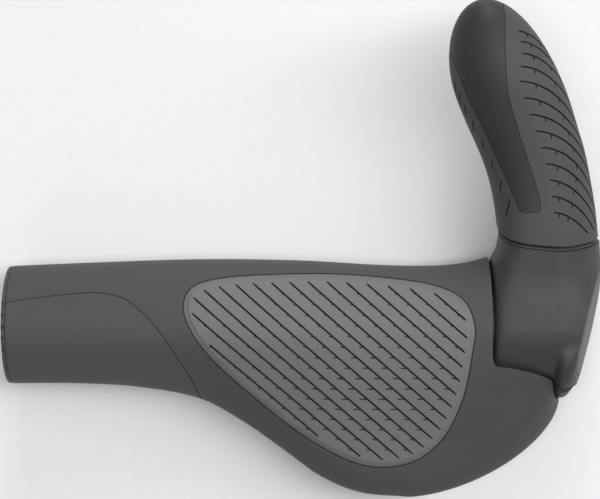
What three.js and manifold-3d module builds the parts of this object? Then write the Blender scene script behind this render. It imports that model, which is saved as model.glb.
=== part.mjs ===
// A winged bicycle grip with a short bar end, for the right-hand end of a flat handlebar.
// Millimetres. The handlebar's axis is the X axis and the origin is its middle at the grip's
// inboard face: +X runs outboard, +Y forward and +Z up, with the palm's wing level.
import * as THREE from "three";
import { mergeVertices } from "three/addons/utils/BufferGeometryUtils.js";
import Module from "manifold-3d";

const wasm = await Module();
wasm.setup();

// Fits between neighbouring pieces.
const GAP = 0.3; // between moulded layers
const TURN_GAP = 0.6; // between the bar end, which turns, and the grip

// Handlebar and the hard core that slides onto it.
const BAR_D = 22.2;
const BAR_CLEARANCE = 0.1;
const CORE_WALL = 1.6;
const FLANGE_THICK = 0.9;
const FLANGE_STEP = 0.35; // how far the flange's rim lies below the rubber
const TICK_COUNT = 5;
const TICK_ANGLE = 11.25; // degrees between the marks on the flange
const TICK_WIDTH = 0.5;
const TICK_DEPTH = 0.5;
const CORE_SLOTS = 4;
const CORE_SLOT_WIDTH = 2;
const CORE_SLOT_LENGTH = 17;
const PLATE_THICK = 2.4; // the core's stiff plate inside the wing
const PLATE_TOP = -0.8;
const PLATE_FROM = 52;
const PLATE_BACK = 5.4; // the plate ends this far before the clamp
const PLATE_MARGIN = 9; // from the plate's rear edge to the wing's

// Rubber grip: a round barrel that spreads into a wing behind the handlebar.
const BARREL_WALL = 4.3; // from the handlebar's surface to the rubber's
const GRIP_LENGTH = 125.4; // inboard face to the bar end's clamp
const WING_DEPTH = 45.8; // handlebar axis to the wing's rear edge
const WING_PAST = 2.5; // the lobe beside the clamp ends this far beyond the ring's ridge
const LOBE_BACK = 20.4; // the lobe starts to curve this far before the clamp
const LOBE_Y = -19.9;
const LOBE_POWER = 1.63;
const EDGE_HALF = 5.6; // half the wing's thickness at its rear edge
const EDGE_ROUND = 7;
const LOBE_ROUND = 4;
const DROOP = 3.5;
const WING_FROM = 20; // the barrel starts to spread here
const WING_TO = 80; // and is a full wing here

// Skins laid into the grip.
const PAD_FROM = 46.6; // the pad's inboard end
const PAD_BACK = 4.5; // and it ends this far before the clamp
const PAD_WIDTH = 50.5;
const PAD_FRONT = 13.4; // its front edge lies this far forward of the axis
const PAD_THICK = 1.8;
const PAD_PROUD = 0.15;
const GROOVE_WIDTH = 0.5;
const GROOVE_DEPTH = 0.7;
const GROOVE_COUNT = 16;
const GROOVE_PITCH = 4.83; // along X
const GROOVE_START = 1.4; // from the pad's inboard end to where the first groove crosses Y = 0
const GROOVE_SLOPE = 0.873; // fall in Y for each millimetre of X
const GROOVE_MARGIN = 2;
const PANEL_THICK = 1;
const SEAM_LENGTH = 50.5; // the panel behind the barrel reaches this far outboard

// Bar end: a clamp ring, a root and a horn in one hard piece.
const RING_WALL = 3.6;
const RING_LENGTH = 16.4; // to its ridge, from where it falls away to the end face
const END_PAST = 10; // from the ridge to where the end face crosses the handlebar's axis
const END_SLANT_REAR = 12.6; // degrees that the end face turns rearwards
const END_SLANT_UP = 13; // and upwards
const END_DOME = 8.5; // how far the ring's curve would run on past the end face
const CAP_WALL = 0.9; // how much further the cap reaches than the core
const CAP_THICK = 1.2;
const CAP_SPIGOT = 7;
const COLLAR_Y = 23.1;
const COLLAR_TURN = 0.085; // the collar's plane falls back outboard by this slope
const COLLAR_LEAN = 0.336; // and upwards by this one
const COLLAR_THICK = 0.6;
const COLLAR_STEP = 0.35;
const COVER_THICK = 2.4;
const THUMB_THICK = 1.2;
const HORN_LENGTH = 60;
const HORN_WIDE = 12.9; // half its width at the collar
const HORN_HIGH = 12.5; // half its height there
const HORN_INSIDE = 1.4; // its middle at the collar lies this far inboard of the ring's ridge
const HORN_SWEEP = 17.7; // and at the tip this much further inboard
const TIP_LENGTH = 25;
const HORN_RISE = 0.225; // rise in Z for each millimetre of Y
const RIB_COUNT = 13;
const RIB_PITCH = 4.07;
const RIB_EVEN = 8; // so many pitches are even
const RIB_CLOSING = 0.1; // each next pitch near the tip is shorter by this share
const RIB_START = 5.95; // from the collar to the first rib
const RIB_FROM = 86; // degrees above the horn's side where a rib groove starts
const RIB_FROM_TIP = 60; // the same near the tip
const RIB_TO = -12;
const RIB_SWEEP = 16; // how far a rib groove falls back on its way round the side
const RIB_WIDTH = 0.5;
const RIB_DEPTH = 0.6;
const RIB_MARGIN = 1.6; // from the thumb panel
const RIB_COLLAR = 2; // and from the cover's lip
const THUMB_DEPTH = 13.8; // how far the thumb panel goes down from the top of the horn

// Pinch slot and its screw, in the lug behind the ring.
const LUG_HEIGHT = 2.8; // above the ring
const LUG_WIDTH = 2.2; // from the ring's ridge to the lug's own
const LUG_WALL = 1.4; // what it has round the bore on its far side
const LUG_TURN = 8; // degrees above straight back
const SLOT_TURN = 29;
const SLOT_WIDTH = 2;
const SCREW_WALL = 3.2; // from the bore to the screw's axis
const SCREW_R = 2;
const SCREW_HEAD_R = 3;
const SCREW_HEAD = 2.8;
const SCREW_SOCKET = 3; // across flats
const SCREW_GRIP = 4.5; // thread in the upper half of the lug
const WASHER_THICK = 0.6;
const SEAT_DEPTH = 3; // from the slot's middle to the washer's seat

const BARREL_R = BAR_D / 2 + BARREL_WALL;
const BORE_R = BAR_D / 2 + BAR_CLEARANCE;
const CORE_R = BORE_R + CORE_WALL;
const RING_R = CORE_R + RING_WALL;
const LUG_R = RING_R + LUG_HEIGHT;
const CAP_R = CORE_R + CAP_WALL;
const BODY_X = FLANGE_THICK + GAP;
const CLAMP_X = GRIP_LENGTH + TURN_GAP;
const CROWN_X = CLAMP_X + RING_LENGTH;
const WING_END = CROWN_X + WING_PAST;
const LOBE_START = GRIP_LENGTH - LOBE_BACK;
const END_X = CROWN_X + END_PAST;
const LUG_X = CROWN_X + LUG_WIDTH;
const HORN_X = CROWN_X - HORN_INSIDE;
const HORN_TIP_Y = COLLAR_Y + HORN_LENGTH;
const SCREW_X = LUG_X;
const SCREW_OUT = BORE_R + SCREW_WALL;
const CORE_CLEAR = 2; // between the core's end and the screw
const CORE_END = SCREW_X - SCREW_R - CORE_CLEAR;
const FAR = 200; // well outside the part
const DEGREE = Math.PI / 180;

// Returns y(x), a smooth curve through a few points, held level beyond its ends.
function through(points) {
  const slope = (i) => {
    const a = points[Math.max(i - 1, 0)];
    const b = points[Math.min(i + 1, points.length - 1)];
    return (b[1] - a[1]) / (b[0] - a[0]);
  };
  return (x) => {
    const last = points.length - 1;
    if (x <= points[0][0]) return points[0][1];
    if (x >= points[last][0]) return points[last][1];
    const i = points.findIndex((p) => p[0] > x) - 1;
    const [x0, y0] = points[i];
    const [x1, y1] = points[i + 1];
    const w = x1 - x0;
    const t = (x - x0) / w;
    const h = t * t * (3 - 2 * t);
    return y0 + (y1 - y0) * h + w * t * (1 - t) * ((1 - t) * slope(i) - t * slope(i + 1));
  };
}

// Points given as shares of two lengths, each with its own start.
function spread(points, [x0, width], [y0, height]) {
  return points.map(([x, y]) => [x0 + x * width, y0 + y * height]);
}

// A closed smooth outline through a few points, as short straight steps.
function closedThrough(points, steps) {
  const at = (i) => points[(i + points.length) % points.length];
  return points.flatMap((_, i) =>
    Array.from({ length: steps }, (_, k) => {
      const t = k / steps;
      return [0, 1].map((c) => {
        const [a, b, d, e] = [at(i - 1)[c], at(i)[c], at(i + 1)[c], at(i + 2)[c]];
        return b + 0.5 * t * (d - a + t * (2 * a - 5 * b + 4 * d - e + t * (3 * (b - d) + e - a)));
      });
    })
  );
}

// The outline moved outwards by a distance, for an outline that runs counter-clockwise.
function grown(outline, distance) {
  return outline.map((p, i) => {
    const a = outline.at(i - 1);
    const b = outline[(i + 1) % outline.length];
    const run = Math.hypot(b[0] - a[0], b[1] - a[1]);
    return [p[0] + (distance * (b[1] - a[1])) / run, p[1] - (distance * (b[0] - a[0])) / run];
  });
}

const smooth = (from, to, x) => THREE.MathUtils.smoothstep(x, from, to);
const rounding = (share) => Math.sqrt(1 - (1 - Math.min(share, 1)) ** 2);

// A solid from a geometry, ready for joins and cuts.
function solid(geometry) {
  const bare = geometry.clone();
  bare.deleteAttribute("normal");
  bare.deleteAttribute("uv");
  const merged = mergeVertices(bare, 1e-4);
  return new wasm.Manifold(
    new wasm.Mesh({
      numProp: 3,
      vertProperties: merged.attributes.position.array,
      triVerts: new Uint32Array(merged.index.array),
    })
  );
}

// The finished skin of a solid, without the specks of no size that cuts can leave.
const SPECK = 0.001; // cubic millimetres
function geometryOf(made) {
  const whole = made.decompose().filter((shell) => Math.abs(shell.volume()) > SPECK);
  const mesh = wasm.Manifold.compose(whole).getMesh();
  const geometry = new THREE.BufferGeometry();
  geometry.setAttribute("position", new THREE.BufferAttribute(mesh.vertProperties, 3));
  geometry.setIndex(new THREE.BufferAttribute(mesh.triVerts, 1));
  return geometry;
}

// A closed skin over rings of points; each ring runs the same way round, seen along the row.
function loft(rings) {
  const count = rings[0].length;
  const positions = rings.flat().flatMap((p) => [p.x, p.y, p.z]);
  const faces = [];
  for (let r = 0; r + 1 < rings.length; r++)
    for (let i = 0; i < count; i++) {
      const j = (i + 1) % count;
      const [a, b, c, d] = [r * count + i, r * count + j, (r + 1) * count + j, (r + 1) * count + i];
      faces.push(a, b, d, b, c, d);
    }
  for (const [first, turned] of [[0, true], [(rings.length - 1) * count, false]]) {
    const middle = positions.length / 3;
    const centre = new THREE.Vector3();
    for (let i = 0; i < count; i++) centre.add(new THREE.Vector3().fromArray(positions, 3 * (first + i)));
    positions.push(...centre.divideScalar(count));
    for (let i = 0; i < count; i++) {
      const [a, b] = [first + i, first + ((i + 1) % count)];
      faces.push(...(turned ? [b, a, middle] : [a, b, middle]));
    }
  }
  const geometry = new THREE.BufferGeometry();
  geometry.setAttribute("position", new THREE.Float32BufferAttribute(positions, 3));
  geometry.setIndex(faces);
  const made = solid(geometry);
  if (made.volume() > 0) return made;
  geometry.setIndex(faces.reverse());
  return solid(geometry);
}

// An upright prism over a plan outline.
function prism(outline, low, high) {
  const shape = new THREE.Shape(outline.map(([x, y]) => new THREE.Vector2(x, y)));
  const geometry = new THREE.ExtrudeGeometry(shape, { depth: high - low, bevelEnabled: false });
  return solid(geometry.translate(0, 0, low));
}

// A turned solid on the X axis, from [x, radius] points; it is closed along the axis.
function turned(profile, sides = 48) {
  const last = profile.length - 1;
  const closed = [[profile[0][0], 0], ...profile, [profile[last][0], 0]];
  const points = closed.map(([x, r]) => new THREE.Vector2(r, x));
  const geometry = new THREE.LatheGeometry(points, sides);
  return outwards(geometry.rotateZ(-Math.PI / 2));
}

function outwards(geometry) {
  const made = solid(geometry);
  if (made.volume() > 0) return made;
  const bare = geometry.toNonIndexed();
  const order = Array.from({ length: bare.attributes.position.count }, (_, i) => i).reverse();
  bare.setIndex(order);
  return solid(bare);
}

function rod(radius, from, to, sides = 48) {
  return turned([[from, radius], [to, radius]], sides);
}

function block(low, high) {
  const size = high.map((v, i) => v - low[i]);
  const geometry = new THREE.BoxGeometry(...size);
  return solid(geometry.translate(...low.map((v, i) => v + size[i] / 2)));
}

// Plan of the grip: how far it reaches in front of the handlebar's axis, and behind it.
const frontReach = through(spread([
  [0, 0], [0.191, 0.065], [0.399, 0.117], [0.606, 0.097], [0.797, 0.013], [0.901, 0.013],
  [0.957, 0.065], [1, 0.156],
], [0, GRIP_LENGTH], [BARREL_R, BARREL_R]));
const rearCurve = through(spread([
  [0, 0], [0.171, 0], [0.324, 0.033], [0.476, 0.138], [0.576, 0.322], [0.676, 0.5625],
  [0.776, 0.8125], [0.876, 0.957], [1, 1],
], [0, LOBE_START], [BARREL_R, WING_DEPTH - BARREL_R]));
const crown = through(spread([[0, 0], [0.4, 0.039], [0.8, 0.013], [1.155, 0]],
  [0, GRIP_LENGTH], [BARREL_R, BARREL_R]));

function rearReach(x) {
  if (x <= LOBE_START) return rearCurve(x);
  const share = Math.min((x - LOBE_START) / (WING_END - LOBE_START), 1);
  return (WING_DEPTH + LOBE_Y) * (1 - share ** LOBE_POWER) ** (1 / LOBE_POWER) - LOBE_Y;
}

// Middle height and half thickness of the grip at a point of its plan.
function gripSkin(x, y) {
  const reach = rearReach(x);
  const wing = smooth(WING_FROM, WING_TO, x);
  const end = rounding((WING_END - x) / LOBE_ROUND);
  if (y >= 0) {
    const share = Math.min(y / frontReach(x), 1);
    return { middle: 0, half: crown(x) * Math.sqrt(1 - share * share) * end };
  }
  const share = Math.min(-y / reach, 1);
  const step = 0.1;
  const slope = (rearReach(Math.min(x + step, WING_END)) - rearReach(x - step)) / (2 * step);
  const inwards = (reach + y) / Math.hypot(1, slope);
  const edge = THREE.MathUtils.lerp(crown(x), EDGE_HALF, wing);
  const round = THREE.MathUtils.lerp(reach, EDGE_ROUND, wing);
  const flat = THREE.MathUtils.lerp(crown(x), edge, smooth(0, 1, share));
  return { middle: -DROOP * wing * share * share, half: flat * rounding(inwards / round) * end };
}

// One section of the grip, moved inwards by an inset.
function gripSection(x, inset, count) {
  const front = frontReach(x);
  const rear = rearReach(x);
  const points = Array.from({ length: count }, (_, i) => {
    const turn = ((i + 0.5) / count) * 2 * Math.PI;
    const y = Math.cos(turn) * (Math.cos(turn) > 0 ? front : rear);
    const { middle, half } = gripSkin(x, y);
    return [y, middle + Math.sign(Math.sin(turn)) * half];
  });
  return grown(points, -inset).map(([y, z]) => new THREE.Vector3(x, y, z));
}

// The grip's outer skin, or a plainer skin further in, for what lies under it.
const GRIP_SKIN = { around: 40, step: 5.5 };
const GRIP_UNDER = { around: 22, step: 9 };
function gripLoft(inset = 0, { around, step } = GRIP_SKIN) {
  const from = inset > 0 ? -BODY_X : BODY_X;
  const rounded = WING_END - LOBE_ROUND;
  const straight = Math.ceil((rounded - from) / step);
  const stations = Array.from({ length: straight }, (_, i) => from + ((rounded - from) * i) / straight);
  for (const share of [0, 0.45, 0.75, 0.95]) stations.push(rounded + LOBE_ROUND * share);
  return loft(stations.map((x) => gripSection(x, inset, around)));
}

// The slanted end plane of the bar end, as an outward direction and a point on the axis.
const endNormal = new THREE.Vector3(
  Math.cos(END_SLANT_UP * DEGREE) * Math.cos(END_SLANT_REAR * DEGREE),
  -Math.cos(END_SLANT_UP * DEGREE) * Math.sin(END_SLANT_REAR * DEGREE),
  Math.sin(END_SLANT_UP * DEGREE)
);
const endTurn = new THREE.Quaternion().setFromUnitVectors(new THREE.Vector3(1, 0, 0), endNormal);

// Moves a solid made along the X axis, from x = 0, onto the end plane's own axis.
function onEndPlane(made) {
  const matrix = new THREE.Matrix4().compose(
    new THREE.Vector3(END_X, 0, 0), endTurn, new THREE.Vector3(1, 1, 1));
  return solid(geometryOf(made).applyMatrix4(matrix));
}

// Bar end, in upright sections across Y: the ring and root below the collar, the horn above.
// Each section has its ridge at x, reaches left and right of it, and spans half its height.
const onRoot = [0, COLLAR_Y];
const FULL_RIGHT = END_X + END_DOME;
const HORN_RIGHT = HORN_X + HORN_WIDE + GAP;
const rootLeft = through(spread([[-0.7, 0], [0.705, 0], [0.79, 0.29], [0.876, 0.76], [1, 1]],
  onRoot, [CLAMP_X, HORN_X - HORN_WIDE - CLAMP_X]));
const rootRight = through(spread([[-0.7, 1], [0.171, 1], [0.513, 0.42], [0.726, 0.12], [1, 0]],
  onRoot, [HORN_RIGHT, FULL_RIGHT - HORN_RIGHT]));
const rootRidge = through(spread([[0.171, 1], [1, 0]], onRoot, [HORN_X, HORN_INSIDE]));
const rootHigh = through(spread([[0, 1], [0.256, 0.77], [0.427, 0.385], [0.598, 0.154], [1, 0]],
  onRoot, [HORN_HIGH, RING_R - HORN_HIGH]));
const rootRise = through(spread([[0, 0], [0.342, 0.171], [0.684, 0.598], [1, 1]],
  onRoot, [0, HORN_RISE * COLLAR_Y]));

// How square a section is left and right of its ridge: 2 is an ellipse, more is boxier.
const leftPower = through(spread([[-0.171, 6], [0.256, 4.6], [0.598, 3.6], [1, 3.2], [1.4, 2.5], [2, 2]],
  onRoot, [0, 1]));
const rightPower = through(spread([[0.171, 2], [1, 1.5], [2, 2]], onRoot, [0, 1]));

// Across and up, each from -1 to 1, for a turn round a section of that squareness.
function roundSection(y, turn) {
  const [c, s] = [Math.cos(turn), Math.sin(turn)];
  const power = 2 / (c < 0 ? leftPower(y) : rightPower(y));
  return [Math.sign(c) * Math.abs(c) ** power, Math.sign(s) * Math.abs(s) ** power];
}

const HORN_AROUND = 32;
function rootSection(y) {
  const high = y < 0 ? Math.sqrt(Math.max(RING_R ** 2 - y ** 2, 0.01)) : rootHigh(y);
  const shear = Math.tan(END_SLANT_UP * DEGREE) * (1 - smooth(COLLAR_Y / 6, COLLAR_Y, y));
  return Array.from({ length: HORN_AROUND }, (_, i) => {
    const [across, up] = roundSection(y, (i / HORN_AROUND) * 2 * Math.PI);
    const z = high * up;
    const reach = across < 0 ? rootRidge(y) - rootLeft(y) : rootRight(y) - rootRidge(y);
    const x = rootRidge(y) + across * reach - Math.max(across, 0) * shear * z;
    return new THREE.Vector3(x, y, z + rootRise(y));
  });
}

const onHorn = [COLLAR_Y, HORN_LENGTH];
const hornX = through(spread([
  [0, 0], [0.158, 0.085], [0.328, 0.237], [0.498, 0.463], [0.665, 0.678], [0.815, 0.836], [1, 1],
], onHorn, [HORN_X, -HORN_SWEEP]));
const hornWide = through(spread([[0, 1], [0.248, 1.012], [0.415, 1.066], [0.582, 1.109], [1, 1.085]],
  onHorn, [0, HORN_WIDE]));
const hornHigh = through(spread([[0, 1], [0.248, 0.944], [0.448, 0.944], [0.648, 0.976], [1, 0.976]],
  onHorn, [0, HORN_HIGH]));

// A point of the horn's skin; turn is 0 on the outboard side and a quarter turn on top.
function hornPoint(y, turn, inset = 0) {
  const into = Math.max(0, (y - (HORN_TIP_Y - TIP_LENGTH)) / (TIP_LENGTH - inset));
  const close = Math.sqrt(Math.max(0, 1 - into ** 2));
  const [across, up] = roundSection(y, turn);
  return new THREE.Vector3(
    hornX(y) + (hornWide(y) - inset) * close * across,
    y,
    HORN_RISE * y + (hornHigh(y) - inset) * close * up
  );
}

const HORN_SKIN = { around: 28, steps: 7 };
const HORN_UNDER = { around: 18, steps: 5 };
const HORN_START = COLLAR_Y - 6;
function hornLoft(inset, { around, steps } = HORN_SKIN, from = HORN_START) {
  const straight = HORN_TIP_Y - TIP_LENGTH;
  const tip = TIP_LENGTH - inset;
  const rows = Array.from({ length: steps }, (_, i) => i / steps);
  const stations = rows.map((share) => THREE.MathUtils.lerp(from, straight, share));
  stations.push(...rows.map((share) => straight + tip * Math.sin((share * Math.PI) / 2)));
  stations.push(straight + tip - GAP / 15);
  return loft(stations.map((y) =>
    Array.from({ length: around }, (_, i) => hornPoint(y, (i / around) * 2 * Math.PI, inset))));
}

// Everything beyond a plane that stands across the horn at the collar, shifted along it.
const collarNormal = new THREE.Vector3(COLLAR_TURN, 1, COLLAR_LEAN).normalize();
const collarCentre = new THREE.Vector3(hornX(COLLAR_Y), COLLAR_Y, HORN_RISE * COLLAR_Y);
function beyondCollar(made, shift) {
  return made.trimByPlane(collarNormal.toArray(), collarNormal.dot(collarCentre) + shift);
}

function beforeCollar(made, shift) {
  const back = collarNormal.clone().negate();
  return made.trimByPlane(back.toArray(), back.dot(collarCentre) - shift);
}

// Plan outlines, counter-clockwise.
const padOutline = closedThrough(spread([
  [0, -0.176], [0.04, -0.321], [0.135, -0.491], [0.316, -0.729], [0.448, -0.869], [0.581, -0.97],
  [0.699, -1], [0.818, -0.954], [0.907, -0.828], [0.965, -0.63], [0.993, -0.392], [1, -0.265],
  [0.969, -0.141], [0.892, -0.069], [0.755, -0.028], [0.53, 0], [0.301, -0.002], [0.127, -0.02],
  [0.027, -0.067],
], [PAD_FROM, GRIP_LENGTH - PAD_BACK - PAD_FROM], [PAD_FRONT, PAD_WIDTH]), 3);
const seam = through(spread([
  [0, 0.39], [0.158, 0.468], [0.317, 0.532], [0.475, 0.565], [0.594, 0.5], [0.673, 0.357],
  [0.772, 0.045], [0.851, -0.312], [0.958, -0.922], [1, -1.3],
], [0, SEAM_LENGTH], [0, BARREL_R]));

// The thumb panel, as shares of the horn's length and of its half width there.
const thumbOutline = closedThrough([
  [0.105, -0.479], [0.118, -0.245], [0.175, -0.222], [0.263, -0.258], [0.44, -0.232],
  [0.607, -0.159], [0.782, 0.037], [0.948, 0.228], [1.115, 0.193], [1.115, -0.807],
  [0.948, -1.217], [0.762, -0.894], [0.595, -0.842], [0.445, -0.792], [0.3, -0.767], [0.165, -0.665],
].map(([along, across]) => {
  const y = COLLAR_Y + along * HORN_LENGTH;
  return [hornX(y) + across * hornWide(y), y];
}), 3);

// The pieces, each a function that returns one solid.

// The core's plate in the wing, or the room for it when a clearance is given.
function corePlate(clear = 0) {
  const to = GRIP_LENGTH - PLATE_BACK;
  const steps = 11;
  const outline = Array.from({ length: steps + 1 }, (_, i) => {
    const x = THREE.MathUtils.lerp(PLATE_FROM, to, i / steps);
    return [x, -Math.max(rearReach(x) - PLATE_MARGIN, CORE_R)];
  });
  outline.push([to, 1 - BORE_R], [PLATE_FROM, 1 - BORE_R]);
  return prism(grown(outline, clear), PLATE_TOP - PLATE_THICK - clear, PLATE_TOP + clear);
}

function coreSleeve() {
  const tube = turned([
    [0, BARREL_R - FLANGE_STEP], [FLANGE_THICK, BARREL_R - FLANGE_STEP],
    [FLANGE_THICK, CORE_R], [CORE_END, CORE_R],
  ]);
  let made = tube.add(corePlate()).subtract(rod(BORE_R, -1, FAR));
  for (let i = 0; i < CORE_SLOTS; i++) {
    const slot = new THREE.BoxGeometry(CORE_SLOT_LENGTH, CORE_SLOT_WIDTH, CORE_R + 2);
    slot.translate(CORE_END - CORE_SLOT_LENGTH / 2 + 1, 0, CORE_R / 2 + 1);
    slot.rotateX(((i + 0.5) / CORE_SLOTS) * 2 * Math.PI);
    made = made.subtract(solid(slot));
  }
  for (let i = 0; i < TICK_COUNT; i++) {
    const from = i - (TICK_COUNT - 1) / 2;
    const wide = from === 0 ? 2 * TICK_WIDTH : TICK_WIDTH;
    const tick = new THREE.BoxGeometry(4, wide, 2);
    tick.translate(0, 0, BARREL_R - FLANGE_STEP - TICK_DEPTH + 1);
    made = made.subtract(solid(tick.rotateX(from * TICK_ANGLE * DEGREE)));
  }
  return made;
}

// How far the lug behind the ring stands out: it rises from the ring's ridge to its own over
// the lug's width, and falls away behind that.
const lugReach = through(spread([
  [-0.36, -0.86], [0, 0], [0.5, 0.5], [1, 1], [1.45, 0.89], [2.14, 0.286], [2.73, -0.46], [3.45, -1.5],
], [CROWN_X, LUG_WIDTH], [RING_R, LUG_HEIGHT]));

// The wing's recess lets the ring and its lug turn; it is open to the front.
function clampRecess() {
  const round = turned([
    [GRIP_LENGTH, RING_R + TURN_GAP], [CROWN_X - 2 * TURN_GAP, RING_R + TURN_GAP],
    [CROWN_X + LUG_WIDTH / 2 - 2 * TURN_GAP, lugReach(CROWN_X + LUG_WIDTH / 2) + TURN_GAP],
    [LUG_X - 2 * TURN_GAP, LUG_R + TURN_GAP], [FAR, LUG_R + TURN_GAP],
  ], 64);
  return round.add(block([GRIP_LENGTH, -2, -FAR / 2], [FAR, FAR, FAR / 2]));
}

function seamRegion(clear) {
  const steps = 20;
  const outline = Array.from({ length: steps + 1 }, (_, i) => {
    const x = (i / steps) * SEAM_LENGTH;
    return [x, seam(x)];
  });
  outline.push([SEAM_LENGTH, -FAR / 2], [0, -FAR / 2]);
  return prism(grown(outline.reverse(), clear), -FAR / 2, FAR / 2);
}

function gripBody() {
  const shape = gripLoft();
  const padPocket = prism(grown(padOutline, GAP), 0, FAR).subtract(gripLoft(PAD_THICK + GAP, GRIP_UNDER));
  const panelPocket = seamRegion(GAP).subtract(gripLoft(PANEL_THICK + GAP, GRIP_UNDER));
  return shape
    .subtract(rod(CORE_R + GAP, -1, FAR))
    .subtract(corePlate(GAP))
    .subtract(clampRecess())
    .subtract(padPocket)
    .subtract(panelPocket);
}

function fingerPanel() {
  const skin = gripLoft().subtract(gripLoft(PANEL_THICK, GRIP_UNDER));
  return skin.intersect(seamRegion(0));
}

// The straight groove line number k, cut to the outline: its two ends in plan.
function grooveEnds(k, outline) {
  const lineX = (y) => PAD_FROM + GROOVE_START + k * GROOVE_PITCH - y / GROOVE_SLOPE;
  const crossings = [];
  outline.forEach((p, i) => {
    const q = outline[(i + 1) % outline.length];
    const [a, b] = [p[0] - lineX(p[1]), q[0] - lineX(q[1])];
    if (a * b > 0) return;
    const y = p[1] + ((q[1] - p[1]) * a) / (a - b);
    crossings.push([lineX(y), y]);
  });
  crossings.sort((p, q) => p[1] - q[1]);
  return crossings.length < 2 ? null : [crossings[0], crossings.at(-1)];
}

// A bar of square section swept along points, standing on the floor points given.
function sweep(floor, roof, across) {
  return loft(floor.map((low, i) => [
    low.clone().addScaledVector(across[i], -0.5), low.clone().addScaledVector(across[i], 0.5),
    roof[i].clone().addScaledVector(across[i], 0.5), roof[i].clone().addScaledVector(across[i], -0.5),
  ]));
}

const topOf = (x, y) => {
  const { middle, half } = gripSkin(x, y);
  return middle + half;
};

function padGroove(ends) {
  const steps = 5;
  const [from, to] = ends.map(([x, y]) => new THREE.Vector3(x, y, 0));
  const up = new THREE.Vector3(0, 0, 1);
  const side = to.clone().sub(from).normalize().cross(up).multiplyScalar(GROOVE_WIDTH);
  const along = Array.from({ length: steps + 1 }, (_, i) => from.clone().lerp(to, i / steps));
  const floor = along.map((p) => new THREE.Vector3(p.x, p.y, topOf(p.x, p.y) + PAD_PROUD - GROOVE_DEPTH));
  const roof = floor.map((p) => new THREE.Vector3(p.x, p.y, p.z + 3));
  return sweep(floor, roof, floor.map(() => side));
}

function palmPad() {
  let made = gripLoft(-PAD_PROUD).intersect(prism(padOutline, 0, FAR));
  made = made.subtract(gripLoft(PAD_THICK, GRIP_UNDER));
  const inner = grown(padOutline, -GROOVE_MARGIN);
  for (let k = 0; k < GROOVE_COUNT; k++) {
    const ends = grooveEnds(k, inner);
    if (ends) made = made.subtract(padGroove(ends));
  }
  return made;
}

// Directions across the lug: outwards along the slot, and square to it, where the screw runs.
const slotOut = new THREE.Vector3(0, -Math.cos(SLOT_TURN * DEGREE), Math.sin(SLOT_TURN * DEGREE));
const slotUp = new THREE.Vector3(0, Math.sin(SLOT_TURN * DEGREE), Math.cos(SLOT_TURN * DEGREE));

// Puts a solid made along Y about the origin in the screw's place, with Y as its own axis.
function atScrew(geometry) {
  const place = new THREE.Matrix4().makeBasis(new THREE.Vector3(1, 0, 0), slotUp, slotOut.clone().negate());
  place.setPosition(SCREW_X, slotOut.y * SCREW_OUT, slotOut.z * SCREW_OUT);
  return outwards(geometry.applyMatrix4(place));
}

// A round or many-sided rod on the screw's axis, between two heights above the slot.
function screwRod(radius, from, to, sides = 28) {
  const geometry = new THREE.CylinderGeometry(radius, radius, to - from, sides);
  return atScrew(geometry.translate(0, (from + to) / 2, 0));
}

// The lug is full height straight back, and its outboard slope eases towards the ring's top.
const LUG_AROUND = 30;
const LUG_EASE = 0.35;
function clampLug() {
  const stations = [-0.36, 0, 0.5, 1, 1.45, 2.14, 2.73, 3.45].map((share) => CROWN_X + share * LUG_WIDTH);
  return loft(stations.map((x) =>
    Array.from({ length: LUG_AROUND }, (_, i) => {
      const turn = (i / LUG_AROUND) * 2 * Math.PI;
      const share = smooth(0, 0.85, Math.cos(turn));
      const slope = THREE.MathUtils.lerp(LUG_EASE, 1, share * share);
      const reach = lugReach(x < LUG_X ? x : LUG_X + (x - LUG_X) * slope);
      const r = THREE.MathUtils.lerp(BORE_R + LUG_WALL, reach, share);
      const angle = turn + LUG_TURN * DEGREE;
      return new THREE.Vector3(x, -r * Math.cos(angle), r * Math.sin(angle));
    })));
}

function barEndCore() {
  const stations = [-0.995, -0.96, -0.88, -0.74, -0.55, -0.3, 0].map((share) => share * RING_R);
  stations.push(...[0.17, 0.34, 0.51, 0.64, 0.77, 0.88, 1].map((share) => share * COLLAR_Y), COLLAR_Y + 6);
  const root = beforeCollar(loft(stations.map(rootSection)), 0);
  const horn = hornLoft(COVER_THICK + GAP, HORN_UNDER, CORE_R + 1).subtract(rod(CORE_R, 0, FAR));
  const behindEnd = onEndPlane(block([-FAR, -FAR, -FAR], [0, FAR, FAR]));
  const slot = new THREE.BoxGeometry(FAR, SLOT_WIDTH, FAR / 4);
  return root
    .add(clampLug())
    .add(horn)
    .intersect(behindEnd)
    .subtract(rod(CORE_R + GAP, 0, CORE_END + GAP))
    .subtract(rod(BORE_R, 0, END_X - CAP_THICK))
    .subtract(onEndPlane(rod(CAP_R + GAP, -CAP_THICK - GAP, END_DOME)))
    .subtract(atScrew(slot.translate(0, 0, SCREW_OUT - BORE_R + 2 - FAR / 8)))
    .subtract(screwRod(SCREW_R + GAP, -SEAT_DEPTH - 1, SCREW_GRIP + 1))
    .subtract(screwRod(SCREW_HEAD_R + GAP, -FAR / 8, -SEAT_DEPTH));
}

const WASHER_TOP = -SEAT_DEPTH - GAP;
const HEAD_TOP = WASHER_TOP - WASHER_THICK - GAP;

function clampScrew() {
  const shank = screwRod(SCREW_R, HEAD_TOP - 1, SCREW_GRIP);
  const head = screwRod(SCREW_HEAD_R, HEAD_TOP - SCREW_HEAD, HEAD_TOP);
  const socketR = SCREW_SOCKET / 2 / Math.cos(Math.PI / 6);
  const socket = screwRod(socketR, HEAD_TOP - SCREW_HEAD - 1, HEAD_TOP - SCREW_HEAD * 0.4, 6);
  return shank.add(head).subtract(socket);
}

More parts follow.
